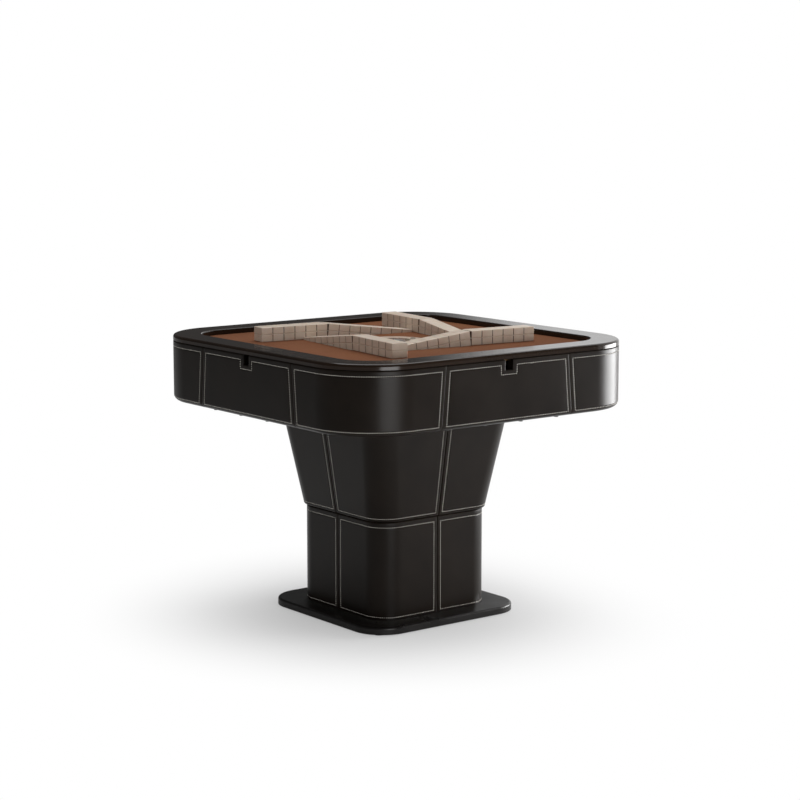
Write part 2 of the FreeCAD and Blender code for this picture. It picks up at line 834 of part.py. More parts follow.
def revolved(points):
    """A solid of revolution about the table's axis from corners named in the sheet."""
    body = doc.addObject("PartDesign::Body", "round")
    spin(body, polygon(body, "XZ_Plane", points))
    return body


def build_console():
    """The lifting console: a disc with a dice well under a clear dome, on a hollow post."""
    disc = rod("console_radius", "console_bottom", "console_thick")
    well = rod("well_radius", "well_floor", "well_deep + overrun")
    pin_hole = rod("plate_pin", "well_floor - plate_pin_length", "plate_pin_length + overrun")
    pockets = []
    stems = []
    for quarter in range(len(SIDES)):
        place = turned(quarter).multVec(FreeCAD.Vector(0, -value("button_place"), 0))
        for radius, bottom, height, kept in (
                ("button_radius + button_fit", "console_top - button_deep", "button_deep + overrun", pockets),
                ("button_stem", "console_bottom", "console_thick - button_deep + overrun", stems)):
            tool = bind(doc.addObject("Part::Cylinder", "pocket"), Radius=radius, Height=height)
            bind(tool, **{"Placement.Base.z": bottom})
            tool.Placement.Base.x = place.x
            tool.Placement.Base.y = place.y
            kept.append(tool)
    rounded = doc.addObject("Part::Fillet", "rounded")
    rounded.Base = disc
    doc.recompute()
    top_edges = [number for number, edge in enumerate(disc.Shape.Edges, 1)
                 if edge.CenterOfMass.z > value("console_top") - value("tile_gap")]
    rounded.Edges = [(number, value("console_round"), value("console_round")) for number in top_edges]
    keep("console_body", cut(rounded, well, pin_hole, *pockets, *stems))

    dome = dome_shell()
    keep("console_dome", dome)

    post = cut(rod("post_radius", "post_bottom", "post_length"),
               rod("post_hollow", "post_bottom - overrun", "post_length - post_wall + overrun"))
    keep("console_post", post)


def dome_shell():
    """A clear cap, a slice of a sphere on a flat flange that rests on the console round the well."""
    rise = value("dome_rise")
    base = value("well_radius")
    wall = value("dome_wall")
    radius = (base * base + rise * rise) / (2 * rise)
    centre = UP * (value("console_top") + rise - radius)
    shell = Part.makeSphere(radius, centre).cut(Part.makeSphere(radius - wall, centre))
    keep_above = Part.makeCylinder(radius, radius * 2, UP * value("console_top"))
    flange = Part.makeCylinder(base + value("dome_flange"), wall, UP * value("console_top"))
    hollow = Part.makeSphere(radius - wall, centre)
    cap = shell.common(keep_above).fuse(flange.cut(hollow)).removeSplitter()
    dome = doc.addObject("Part::Feature", "dome")
    dome.Shape = cap
    return dome


def build_dice():
    """The plate that shakes the dice: a disc with a pin that turns in the console."""
    top = value("well_floor") + value("plate_gap") + value("plate_thick")
    disc = rod("well_radius - plate_gap", "well_floor + plate_gap", "plate_thick")
    pin = rod("plate_pin - pin_fit", "well_floor - plate_pin_length + pin_fit",
              "plate_pin_length + plate_gap")
    keep("dice_plate", fuse(disc, pin))
    size = value("dice_size")
    pair = []
    for quarter in range(2):
        die = Part.makeBox(size, size, size, FreeCAD.Vector(-size / 2, -size / 2, top))
        die = die.makeFillet(value("dice_round"), die.Edges)
        spot = FreeCAD.Rotation(UP, quarter * HALF_TURN).multVec(FreeCAD.Vector(value("dice_place"), 0, 0))
        die.Placement = FreeCAD.Placement(spot, FreeCAD.Rotation(UP, (quarter + 1) * value("dice_place")))
        pair.append(die)
    dice = doc.addObject("Part::Feature", "dice")
    dice.Shape = Part.makeCompound(pair)
    keep("dice", dice)


def build_button(quarter, side):
    """A round push button with a stem that guides it in the console."""
    bottom = "console_top + button_proud - button_deep"
    cap = rod("button_radius", bottom, "button_deep", y="-button_place")
    stem = rod("button_stem - button_fit", "console_bottom + button_proud",
               "console_thick - button_deep", y="-button_place")
    button = fuse(cap, stem)
    button.Placement = turned(quarter)
    keep(f"roll_button_{side}", button)


def build_lift():
    sleeve = rod("guide_radius", "pan_top", "guide_height")
    foot = rod("guide_foot_radius", "pan_top", "guide_foot_thick")
    bore = rod("guide_bore", "pan_top + guide_foot_thick", "guide_height")
    keep("lift_guide", cut(fuse(sleeve, foot), bore))


def build_mixer():
    """The bowl on its legs, the ribbed disc in it, and the wheel that drives the disc's track."""
    bowl = revolved((("bowl_ledge_inner", "bowl_floor_low"), ("bowl_outer", "bowl_floor_low"),
                     ("bowl_outer", "bowl_shoulder"), ("bowl_neck_outer", "bowl_mouth"),
                     ("bowl_neck", "bowl_mouth"), ("bowl_radius", "bowl_shoulder"),
                     ("bowl_radius", "bowl_floor"), ("bowl_ledge_inner", "bowl_floor")))
    legs = []
    for quarter in range(len(SIDES)):
        leg = doc.addObject("Part::Cylinder", "leg")
        bind(leg, Radius="bowl_leg", Height="bowl_floor_low - pan_top")
        place = value("bowl_radius") - value("bowl_ledge") / 2
        spot = FreeCAD.Vector(place, 0, value("pan_top"))
        turn = FreeCAD.Rotation(UP, (quarter + 1 / 2) * QUARTER)
        leg.Placement = FreeCAD.Placement(turn.multVec(spot), FreeCAD.Rotation())
        legs.append(leg)
    keep("mixing_bowl", fuse(bowl, *legs))

    hub = revolved((("disc_bore", "disc_hub_low"), ("disc_hub", "disc_hub_low"),
                    ("disc_hub", "disc_hub_top"), ("disc_bore", "disc_hub_top")))
    plate = revolved((("disc_hub", "disc_bottom"), ("disc_radius", "disc_bottom"),
                      ("disc_radius", "disc_top"), ("disc_hub", "disc_top")))
    track = revolved((("track_inner", "track_low"), ("track_radius", "track_low"),
                      ("track_radius", "disc_bottom"), ("track_inner", "disc_bottom")))
    ribs = []
    for quarter in range(len(SIDES)):
        rib = block("disc_hub", "-disc_rib_wide / 2", "disc_top",
                    "disc_radius - disc_hub - disc_gap", "disc_rib_wide", "disc_rib_height")
        turned_rib = group([rib])
        turned_rib.Placement = turned(quarter)
        ribs.append(turned_rib)
    keep("mixing_disc", group([hub, plate, track, *ribs]))

    wheel = cut(rod("wheel_radius", "wheel_bottom", "wheel_thick", x="wheel_place"),
                rod("wheel_bore", "wheel_bottom - overrun", "wheel_thick + 2 * overrun", x="wheel_place"))
    keep("drive_wheel", wheel)
    motor = rod("motor_radius", "pan_top", "motor_height", x="wheel_place")
    shaft = rod("wheel_shaft", "pan_top", "wheel_bottom - pan_top + wheel_thick", x="wheel_place")
    shoulder = rod("2 * wheel_bore", "pan_top", "wheel_bottom - pan_top - pin_fit", x="wheel_place")
    keep("disc_motor", fuse(motor, shaft, shoulder))


def build_electrics():
    """The control box on the pan; under the pan, the mains inlet with its rocker switch."""
    case = block("box_place - box_length / 2", "box_place - box_width / 2", "pan_top",
                 "box_length", "box_width", "box_height")
    rounded = doc.addObject("Part::Fillet", "rounded")
    rounded.Base = case
    doc.recompute()
    top = value("pan_top")
    rounded.Edges = [(number, value("box_round"), value("box_round"))
                     for number, edge in enumerate(case.Shape.Edges, 1)
                     if edge.CenterOfMass.z > top + value("tile_gap")]
    keep("control_box", rounded)

    body = block("-inlet_length / 2", "inlet_place - inlet_width / 2", "skirt_bottom - inlet_height",
                 "inlet_length", "inlet_width", "inlet_height")
    socket = block("-inlet_length / 2 + inlet_wall", "inlet_place - socket_width / 2",
                   "skirt_bottom - inlet_height - overrun",
                   "socket_length", "socket_width", "socket_deep + overrun")
    room_start = "-inlet_length / 2 + inlet_wall + socket_length + inlet_bridge"
    room = block(f"{room_start} - rocker_gap", "inlet_place - rocker_width / 2 - rocker_gap",
                 "skirt_bottom - inlet_height - overrun",
                 "rocker_length + 2 * rocker_gap", "rocker_width + 2 * rocker_gap",
                 "socket_deep + overrun")
    pin_height = "skirt_bottom - inlet_height + rocker_width / 2"
    pin_bore = doc.addObject("Part::Cylinder", "pin_bore")
    bind(pin_bore, Radius="rocker_pin + pin_fit", Height="inlet_width - inlet_wall")
    pin_bore.Placement.Rotation = FreeCAD.Rotation(FreeCAD.Vector(1, 0, 0), QUARTER)
    put(pin_bore, f"{room_start} + rocker_length / 2",
        "inlet_place + (inlet_width - inlet_wall) / 2", pin_height)
    keep("power_inlet", cut(body, socket, room, pin_bore))

    axis_x = f"{room_start} + rocker_length / 2"
    slab = block(room_start, "inlet_place - rocker_width / 2",
                 "skirt_bottom - inlet_height - rocker_proud",
                 "rocker_length", "rocker_width", "rocker_proud + rocker_width / 2")
    drum = doc.addObject("Part::Cylinder", "drum")
    bind(drum, Radius="rocker_length / 2", Height="rocker_width")
    pin = doc.addObject("Part::Cylinder", "pin")
    bind(pin, Radius="rocker_pin", Height="inlet_width - inlet_wall - 2 * rocker_gap")
    for round_part, end in ((drum, "inlet_place + rocker_width / 2"),
                            (pin, "inlet_place + (inlet_width - inlet_wall) / 2 - rocker_gap")):
        round_part.Placement.Rotation = FreeCAD.Rotation(FreeCAD.Vector(1, 0, 0), QUARTER)
        put(round_part, axis_x, end, pin_height)
    rocker = fuse(overlap(drum, slab), pin)
    doc.recompute()
    rocker.Placement = FreeCAD.Placement(FreeCAD.Vector(), FreeCAD.Rotation(ACROSS, value("rocker_angle")),
                                         pin.Placement.Base)
    keep("power_rocker", rocker)


def write_parts():
    """Check every object and every sub-part, then write one file for each node."""
    doc.recompute()
    for thing in doc.Objects:
        if "Invalid" in thing.State or "Error" in thing.State:
            raise RuntimeError(f"{thing.Name} {thing.Label} failed: {thing.State}")
    os.makedirs("parts", exist_ok=True)
    for name, thing in nodes.items():
        shape = thing.Shape
        if shape.isNull() or not shape.isValid() or not shape.Solids:
            raise RuntimeError(f"{name} has no valid solid")
        shape.exportStep(f"parts/{name}.step")
        print(f"{name}: {len(shape.Solids)} solids, {shape.Volume:.0f}")


build_base()
build_pillar()
build_chassis()
build_skirt()
runner_pairs = [build_drawer(quarter, side) for quarter, side in enumerate(SIDES)]
keep("drawer_runners", group(runner_pairs))
all_rows = [Row(quarter) for quarter in range(len(SIDES))]
for one_row, side_name in zip(all_rows, SIDES):
    build_row(one_row, side_name)
    build_pusher(one_row, side_name)
chutes = doc.addObject("Part::Feature", "chutes")
chutes.Shape = Part.makeCompound([build_chute(one_row) for one_row in all_rows])
keep("ramp_chutes", chutes)
build_top(all_rows)
build_console()
build_dice()
for number, side_name in enumerate(SIDES):
    build_button(number, side_name)
build_lift()
build_mixer()
build_electrics()
write_parts()
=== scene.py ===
"""Looks of the automatic mahjong table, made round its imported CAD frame.

Shapes are worked out in millimetres and become metres when their mesh is made. The studio's lamps
and camera are in metres. Sides and corners are numbered by quarter turns from the front, as in the
frame.
"""

import json
import math

import bpy
import numpy as np
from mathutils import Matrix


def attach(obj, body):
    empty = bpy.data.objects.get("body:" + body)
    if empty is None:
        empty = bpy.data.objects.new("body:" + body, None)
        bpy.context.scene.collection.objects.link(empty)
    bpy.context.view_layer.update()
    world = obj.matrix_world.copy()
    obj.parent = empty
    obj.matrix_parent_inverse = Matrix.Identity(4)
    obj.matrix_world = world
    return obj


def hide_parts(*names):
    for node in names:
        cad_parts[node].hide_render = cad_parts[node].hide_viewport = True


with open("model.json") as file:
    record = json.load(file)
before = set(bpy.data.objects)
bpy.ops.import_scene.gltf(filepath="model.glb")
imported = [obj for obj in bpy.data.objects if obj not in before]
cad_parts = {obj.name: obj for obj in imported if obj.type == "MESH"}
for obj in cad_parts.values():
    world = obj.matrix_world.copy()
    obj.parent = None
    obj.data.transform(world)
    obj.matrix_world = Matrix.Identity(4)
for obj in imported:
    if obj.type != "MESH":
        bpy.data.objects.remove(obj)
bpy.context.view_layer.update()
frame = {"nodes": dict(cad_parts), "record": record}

METRE = 0.001
QUARTER = math.pi / 2
SIDES = ("front", "right", "back", "left")
CORNERS = ("front_left", "front_right", "back_right", "back_left")

# The skirt's panels
TABLE_HALF = 485
TABLE_CORNER = 177
SKIRT_LOW = 578
SKIRT_HIGH = 743.5
SKIRT_ROUNDS = (16, 3)
SKIRT_THICK = 18
SKIRT_SEAMS = (218.7, 205)
SEAM_GAP = 0.8
SKIRT_STITCHES = (589.6, 729.5)
SKIRT_INSET = 11.7
NOTCH_HALF = 12.5
NOTCH_FLOOR = 716.5
NOTCH_STITCH_HALF = 26.5
NOTCH_STITCH_FLOOR = 705.5

# The pedestal's panels
BASE_TOP = 22.8
LOWER_HALF = 192
LOWER_CORNER = 67
LOWER_HIGH = 288
LOWER_ROUNDS = (0.6, 4)
LOWER_STITCHES = (28.5, 273.3)
LOWER_INSET = 9.8
UPPER_LOW = 289.5
UPPER_HALVES = (198, 244)
UPPER_SLOPE_START = 293.5
UPPER_CORNER = 68
UPPER_ROUNDS = (4, 0.6)
UPPER_STITCHES = (298.7, 566)
UPPER_INSETS = (9.5, 11.5)
PILLAR_SEAM = 1.5
PILLAR_THICK = 12

# Leather and thread
FOLD = 1.6
WORN_REACH = 3
LEAST_THICK = 0.3
CHANNEL_DEPTH = 0.55
CHANNEL_WIDTH = 1.3
RIPPLE_DEPTH = 0.07
RIPPLE_REACH = 30
RIPPLE_ALONG = (23, 37)
RIPPLE_UP = (41, 29)
SKIRT_PITCH = 6.1
PILLAR_PITCH = 5.7
STITCH_BEND = 3.5
BEND_POINTS = 9
RUN_POINTS = 240
THREAD_SHARE = 0.25
THREAD_RADIUS = 0.9
THREAD_HEIGHT = 0.8
THREAD_LIFT = 0.3
THREAD_SLANT = math.radians(8)
THREAD_SIDES = 6
THREAD_STATIONS = np.array([-0.78, 0, 0.78])

# Places of the grid lines on a panel
ROUND_LINES = 9
FOLD_LINES = 5
STITCH_LINES = np.array([-3, -1.7, -0.8, 0, 0.8, 1.7, 3])
# the even rows begin this far over the lower stitches and stop this far under the upper ones
ROWS_CLEAR = (9, 6)
EVEN_STEP = 8.5
CORNER_STEP = 4.6
NOTCH_LINES = np.arange(-8, 9, 4)
DRAWER_LINES = np.arange(36, 180, EVEN_STEP)
NEARLY_MET = 0.09
JUST_UNDER = 0.01
PAST_TOP = 99


# Lines and faces


def side_line(along, half, corner):
    """Places on the outline of a rounded square, a length along from the middle of the front and
    going left: straight on, then a quarter circle, then straight on. Gives x, y and the outward
    direction."""
    flat = half - corner
    turn = np.clip((along - flat) / corner, 0, QUARTER)
    past = np.maximum(along - flat - corner * QUARTER, 0)
    x = -np.minimum(along, flat) - corner * np.sin(turn)
    y = -flat - corner * np.cos(turn) + past
    return x, y, np.stack([-np.sin(turn), -np.cos(turn), np.zeros_like(turn)], -1)


def quarter_line(half, corner):
    """Length of the outline from the middle of one side to the middle of the next."""
    return 2 * (half - corner) + corner * QUARTER


def rounding(distance, radius):
    """Depth of a rounded edge: a quarter circle that is radius deep at the edge itself."""
    left = np.clip(radius - distance, 0, radius)
    return radius - np.sqrt(radius * radius - left * left)


def box_distance(across, up, width, low, high):
    """Distance from a rectangle that is half a width to each side: negative inside it."""
    beside = np.abs(across) - width
    beyond = np.maximum(low - up, up - high)
    outside = np.hypot(np.maximum(beside, 0), np.maximum(beyond, 0))
    return outside + np.minimum(np.maximum(beside, beyond), 0)


def levels(*lists):
    """Several lists of places as one sorted list, without those that nearly meet."""
    places = np.sort(np.concatenate([np.ravel(part) for part in lists]))
    return places[np.r_[True, np.diff(places) > NEARLY_MET]]


def turned(points, quarter):
    """Points of a front or front left piece, turned to the side or corner of that number."""
    x, y, z = np.moveaxis(np.asarray(points, float), -1, 0)
    for _ in range(quarter):
        x, y = -y, x
    return np.stack([x, y, z], -1)


def unit(vectors):
    """Vectors divided by their own length."""
    return vectors / np.linalg.norm(vectors, axis=-1, keepdims=True)


def straight(heights, amounts):
    """An amount that changes evenly with height, given at two heights."""
    rise = (amounts[1] - amounts[0]) / (heights[1] - heights[0])
    return lambda up: amounts[0] + (np.asarray(up, float) - heights[0]) * rise


def steady(amount):
    """An amount that is the same at every height."""
    return lambda up: amount + 0 * np.asarray(up, float)


class Panel:
    """A leather panel between two seams: where its face runs, and where it is rounded and sewn."""

    def __init__(self, low, high, rounds, stitches, thick, half, corner, start, end, inset,
                 pitch, notched=False):
        self.low = low
        self.high = high
        self.rounds = rounds
        self.stitches = stitches
        self.thick = thick
        self.half = half
        self.corner = corner
        self.start = start
        self.end = end
        self.inset = inset
        self.pitch = pitch
        self.notched = notched

    def side(self, along, up):
        """Distance from the nearer seam."""
        return np.minimum(along - self.start(up), self.end(up) - along)

    def edges(self, along, up):
        """Depth of the rounded lower edge, upper edge and seam edges, added up."""
        return (rounding(up - self.low, self.rounds[0]) + rounding(self.high - up, self.rounds[1])
                + rounding(self.side(along, up), FOLD))

    def depth(self, along, up):
        """How far the leather lies under the panel's outer face: rounded at each edge, pressed in
        along the stitches as a bell curve across them, and else slack by a few long ripples."""
        start = self.start(up)
        end = self.end(up)
        sewn = box_distance((along - start) - (end - start) / 2, up,
                            (end - start) / 2 - self.inset(up), *self.stitches)
        found = self.edges(along, up)
        if self.notched:
            top = self.high + PAST_TOP
            sewn = np.maximum(sewn, -box_distance(along, up, NOTCH_STITCH_HALF,
                                                  NOTCH_STITCH_FLOOR, top))
            found += rounding(box_distance(along, up, NOTCH_HALF, NOTCH_FLOOR, top), FOLD)
        found += CHANNEL_DEPTH * np.exp(-(sewn / CHANNEL_WIDTH) ** 2)
        ripple = (np.sin(along / RIPPLE_ALONG[0] + 2 * np.sin(up / RIPPLE_UP[0]))
                  * np.sin(up / RIPPLE_UP[1] + np.sin(along / RIPPLE_ALONG[1])))
        found += RIPPLE_DEPTH * ripple * np.clip(self.side(along, up) / RIPPLE_REACH, 0, 1)
        return np.clip(found, 0, self.thick - LEAST_THICK)

    def points(self, along, up, depth):
        """Places on the panel, at a depth under its outer face, and the outward direction."""
        x, y, out = side_line(along, self.half(up), self.corner)
        return np.stack([x, y, up + 0 * x], -1) - out * np.asarray(depth)[..., None], out

    def rows(self):
        """Heights of the grid: close at the rounded edges and the stitches."""
        sweep = 1 - np.cos(np.linspace(0, QUARTER, ROUND_LINES))
        found = [self.low + self.rounds[0] * sweep, self.high - self.rounds[1] * sweep,
                 *[stitch + STITCH_LINES for stitch in self.stitches],
                 np.arange(self.stitches[0] + ROWS_CLEAR[0], self.stitches[1] - ROWS_CLEAR[1],
                           EVEN_STEP)]
        if self.notched:
            found += [NOTCH_FLOOR - FOLD * sweep[::2], NOTCH_STITCH_FLOOR + STITCH_LINES]
        found = levels(*found)
        return found[(found >= self.low) & (found <= self.high)]

    def columns(self, up):
        """Places along the outline for each row: close at the seams and the stitches."""
        fold = FOLD * (1 - np.cos(np.linspace(0, QUARTER, FOLD_LINES)))
        near = np.concatenate([np.broadcast_to(fold, (len(up), len(fold))),
                               self.inset(up)[:, None] + STITCH_LINES], 1)
        left = self.start(up)[:, None] + near
        right = self.end(up)[:, None] - near[:, ::-1]
        if self.notched:
            edges = np.concatenate([NOTCH_HALF + fold, NOTCH_STITCH_HALF + STITCH_LINES])
            between = levels(edges, -edges, NOTCH_LINES, DRAWER_LINES, -DRAWER_LINES)
            middle = np.broadcast_to(between, (len(up), len(between)))
        else:
            steps = int(np.ptp([left[0, -1], right[0, 0]]) / CORNER_STEP)
            share = np.linspace(0, 1, steps)[1:-1]
            middle = left[:, -1:] + (right[:, :1] - left[:, -1:]) * share
        return np.concatenate([left, middle, right], 1)

    def stitch_line(self):
        """Corners of the line that the stitches follow, as lengths along and heights."""
        low, high = self.stitches
        ends = [(self.start(level) + self.inset(level), self.end(level) - self.inset(level))
                for level in (low, high)]
        line = [(ends[0][0], low), (ends[1][0], high), (ends[1][1], high), (ends[0][1], low)]
        if self.notched:
            half = NOTCH_STITCH_HALF
            line[2:2] = [(-half, high), (-half, NOTCH_STITCH_FLOOR), (half, NOTCH_STITCH_FLOOR),
                         (half, high)]
        return line


# Meshes

# points that round to the same micrometre are one
MICROMETRES = 1e6


def piece(name, points, faces, body, material, slot, smooth=40, **values):
    """A finished piece: its mesh in metres, its finish, and the body that it rides on. Edges
    sharper than smooth, in degrees, stay sharp. Values are amounts for each point."""
    points = np.asarray(points, float) * METRE
    sizes = np.concatenate([np.full(len(part), part.shape[1]) for part in faces])
    loops = np.concatenate([np.ravel(part) for part in faces])
    mesh = bpy.data.meshes.new(name)
    mesh.vertices.add(len(points))
    mesh.vertices.foreach_set("co", points.ravel())
    mesh.loops.add(len(loops))
    mesh.loops.foreach_set("vertex_index", loops)
    mesh.polygons.add(len(sizes))
    mesh.polygons.foreach_set("loop_start", np.r_[0, np.cumsum(sizes)[:-1]])
    mesh.update(calc_edges=True)
    mesh.validate()
    mesh.shade_smooth()
    mesh.set_sharp_from_angle(angle=math.radians(smooth))
    for label, amounts in values.items():
        mesh.attributes.new(label, "FLOAT", "POINT").data.foreach_set("value", np.ravel(amounts))
    mesh.materials.append(material)
    made = bpy.data.objects.new(name, mesh)
    bpy.context.scene.collection.objects.link(made)
    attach(made, body)
    return made


def merged_copy(node, name, body, slot, smooth=30):
    """A copy of a node's mesh whose doubled points are merged, as a piece of its own. Where two
    solids touch in the same triangle, the first of the two is kept, so no random one is lost."""
    mesh = frame["nodes"][node].data.copy()
    places = np.empty(len(mesh.vertices) * 3)
    mesh.vertices.foreach_get("co", places)
    corners = np.empty(len(mesh.loops), int)
    mesh.loops.foreach_get("vertex_index", corners)
    places = places.reshape(-1, 3)
    _, first, same = np.unique(np.round(places * MICROMETRES).astype(np.int64), axis=0,
                               return_index=True, return_inverse=True)
    triangles = np.ravel(same)[corners].reshape(-1, 3)
    _, kept = np.unique(np.sort(triangles, 1), axis=0, return_index=True)
    return piece(name, places[first] / METRE, [triangles[np.sort(kept)]], body,
                 SLOT_FINISHES[slot], slot, smooth=smooth)


def shell(front, back, kept):
    """A closed shell between two grids of points with the same rows and columns, leaving out the
    cells that aren't kept: the two grids' faces, and a strip from one to the other round every
    edge that has no neighbour."""
    rows, columns = front.shape[:2]
    index = np.arange(rows * columns).reshape(rows, columns)
    corners = np.stack([index[:-1, :-1], index[1:, :-1], index[1:, 1:], index[:-1, 1:]], -1)
    behind = rows * columns
    faces = [corners[kept], corners[kept][:, ::-1] + behind]
    around = np.pad(kept, 1)
    beside = (around[1:-1, :-2], around[2:, 1:-1], around[1:-1, 2:], around[:-2, 1:-1])
    for edge, neighbour in enumerate(beside):
        open_cells = corners[kept & ~neighbour]
        first = open_cells[:, edge]
        second = open_cells[:, (edge + 1) % 4]
        faces.append(np.stack([second, first, first + behind, second + behind], -1))
    faces = np.concatenate(faces)
    used, faces = np.unique(faces, return_inverse=True)
    points = np.concatenate([front.reshape(-1, 3), back.reshape(-1, 3)])[used]
    return points, faces.reshape(-1, 4), used


def stack_faces(sides, rings):
    """Faces of a closed stack of rings, whose points are those of each ring in turn and then a low
    and a high end point: a strip from each ring to the next, and a fan at each end."""
    ring = np.arange(sides)
    after = (ring + 1) % sides
    top = sides * (rings - 1)
    strips = [np.stack([ring, after, after + sides, ring + sides], -1) + sides * step
              for step in range(rings - 1)]
    fans = [np.stack([after, ring, np.full(sides, top + sides)], -1),
            np.stack([ring + top, after + top, np.full(sides, top + sides + 1)], -1)]
    return np.concatenate(strips), np.concatenate(fans)


def repeated(faces, copies, count):
    """Faces for a number of copies of one shape that has count points."""
    offsets = np.arange(copies)[:, None, None] * count
    return [(part + offsets).reshape(-1, part.shape[1]) for part in faces]


def lathe(profile, segments, centre=(0, 0)):
    """A closed ring: a closed outline of radius and height pairs, turned once round an upright
    axis, with a grid of one row for each pair and one column for each step of the turn."""
    profile = np.array(profile, float)
    angle = np.arange(segments) * 2 * math.pi / segments
    points = np.stack([profile[:, :1] * np.cos(angle) + centre[0],
                       profile[:, :1] * np.sin(angle) + centre[1],
                       np.broadcast_to(profile[:, 1:], (len(profile), segments))], -1)
    index = np.arange(points[..., 0].size).reshape(points.shape[:2])
    up = np.roll(index, -1, 0)
    faces = np.stack([index, np.roll(index, -1, 1), np.roll(up, -1, 1), up], -1)
    return points.reshape(-1, 3), [faces.reshape(-1, 4)]


# Finishes


class Finish:
    """A procedural material: fixed values on the shader, and nodes for all that varies. Patterns
    read the object's coordinates, so their scales are by the metre."""

    def __init__(self, name, **shader):
        self.material = bpy.data.materials.new(name)
        self.material.use_nodes = True
        self.tree = self.material.node_tree
        self.shader = self.tree.nodes["Principled BSDF"]
        for socket, amount in shader.items():
            self.shader.inputs[socket.replace("_", " ")].default_value = amount
        self.place = self.add("TexCoord").outputs["Object"]

    def add(self, kind, inputs=(), **settings):
        """One node, with its settings, and its inputs given as values or linked to outputs."""
        made = self.tree.nodes.new("ShaderNode" + kind)
        for name, setting in settings.items():
            setattr(made, name, setting)
        for name, given in dict(inputs).items():
            if isinstance(given, bpy.types.NodeSocket):
                self.tree.links.new(given, made.inputs[name])
            else:
                made.inputs[name].default_value = given
        return made

    def noise(self, scale, detail=3, roughness=0.5, place=None):
        """Cloudy noise, mostly between 0.3 and 0.7."""
        found = self.add("TexNoise", {"Vector": place or self.place, "Scale": scale,
                                      "Detail": detail, "Roughness": roughness})
        return found.outputs["Fac"]

    def cells(self, scale, feature="F1"):
        """Distance from the middle of the nearest cell."""
        found = self.add("TexVoronoi", {"Vector": self.place, "Scale": scale}, feature=feature)
        return found.outputs["Distance"]

    def bands(self, scale, direction, distortion=0.0, place=None):
        """Parallel waves from 0 to 1."""
        found = self.add("TexWave", {"Vector": place or self.place, "Scale": scale,
                                     "Distortion": distortion, "Detail": 2.0, "Detail Scale": 3.0},
                         bands_direction=direction)
        return found.outputs["Fac"]

    def stretched(self, x=1, y=1, z=1):
        """The object's coordinates, scaled by its own factor on each axis."""
        return self.add("Mapping", {"Vector": self.place, "Scale": (x, y, z)}).outputs["Vector"]

    def sum(self, first, second, operation="ADD"):
        """Two amounts added, or put together by another operation."""
        return self.add("Math", {0: first, 1: second}, operation=operation).outputs[0]

    def times(self, first, second):
        """Two amounts multiplied."""
        return self.sum(first, second, "MULTIPLY")

    def ranged(self, given, low, high, to_low, to_high, **settings):
        """An amount moved evenly from one range to another, and held at that range's ends."""
        return self.add("MapRange", {0: given, 1: low, 2: high, 3: to_low, 4: to_high},
                        **settings).outputs[0]

    def eased(self, given, low, high, to_low, to_high):
        """An amount moved from one range to another, slowly at both ends."""
        return self.ranged(given, low, high, to_low, to_high, interpolation_type="SMOOTHSTEP")

    def spread(self, noise, to_low=0, to_high=1):
        """Noise spread over a whole range."""
        return self.ranged(noise, 0.3, 0.7, to_low, to_high)

    def attribute(self, name):
        """An amount that is written on the mesh."""
        return self.add("Attribute", attribute_name=name).outputs["Fac"]

    def blend(self, share, first, second):
        """A colour between two colours, each given as numbers or linked."""
        found = self.add("Mix", {0: share, 6: first, 7: second}, data_type="RGBA")
        return found.outputs[2]

    def relief(self, height, distance, strength):
        """The direction that the surface faces when a height pattern presses it."""
        return self.add("Bump", {"Height": height, "Distance": distance,
                                 "Strength": strength}).outputs["Normal"]

    def colour(self, given):
        """Gives the shader its colour."""
        self.tree.links.new(given, self.shader.inputs["Base Color"])

    def rough(self, given):
        """Gives the shader its roughness."""
        self.tree.links.new(given, self.shader.inputs["Roughness"])

    def surface(self, given):
        """Gives the shader its relief."""
        self.tree.links.new(given, self.shader.inputs["Normal"])


def shade(red, green, blue):
    """A colour from the usual 0 to 255 screen values, as the linear numbers a shader takes."""
    screen = [part / 255 for part in (red, green, blue)]
    linear = [part / 12.92 if part <= 0.04045 else ((part + 0.055) / 1.055) ** 2.4
              for part in screen]
    return (*linear, 1.0)


def leather(name, dark, light, wear_and_weave_shade, gloss, **shader):
    """Smooth saddle leather: a pebbled grain of small cells and pores, slow patches of tone and
    gloss, painted shade in its stitch channels and a little paler on its folds."""
    found = Finish(name, **shader)
    patches = found.noise(7, detail=4)
    grain = found.cells(620, "SMOOTH_F1")
    pores = found.noise(1500, detail=2)
    tone = found.blend(found.spread(patches), dark, light)
    tone = found.blend(found.times(found.attribute("fold"), 0.5), tone, wear_and_weave_shade)
    # painted shade: the stitch channels are blended towards black, for the shade in their groove
    tone = found.blend(found.times(found.attribute("channel"), 0.55), tone, (0, 0, 0, 1))
    found.colour(tone)
    found.rough(found.spread(patches, gloss - 0.02, gloss + 0.03))
    found.surface(found.relief(found.sum(grain, found.times(pores, 0.3)), 0.00022, 0.16))
    return found.material


def thread_finish():
    """Waxed linen thread: two plies that twist as slanting bands, soiled in patches."""
    found = Finish("waxed_thread", Roughness=0.62, Specular_IOR_Level=0.3, Sheen_Weight=0.25)
    twist = found.bands(260, "DIAGONAL")
    soil = found.noise(160)
    tone = found.blend(found.spread(soil), shade(228, 222, 210), shade(248, 244, 234))
    found.colour(found.blend(found.times(twist, 0.25), tone, shade(160, 154, 142)))
    found.surface(found.relief(twist, 0.0002, 0.6))
    return found.material


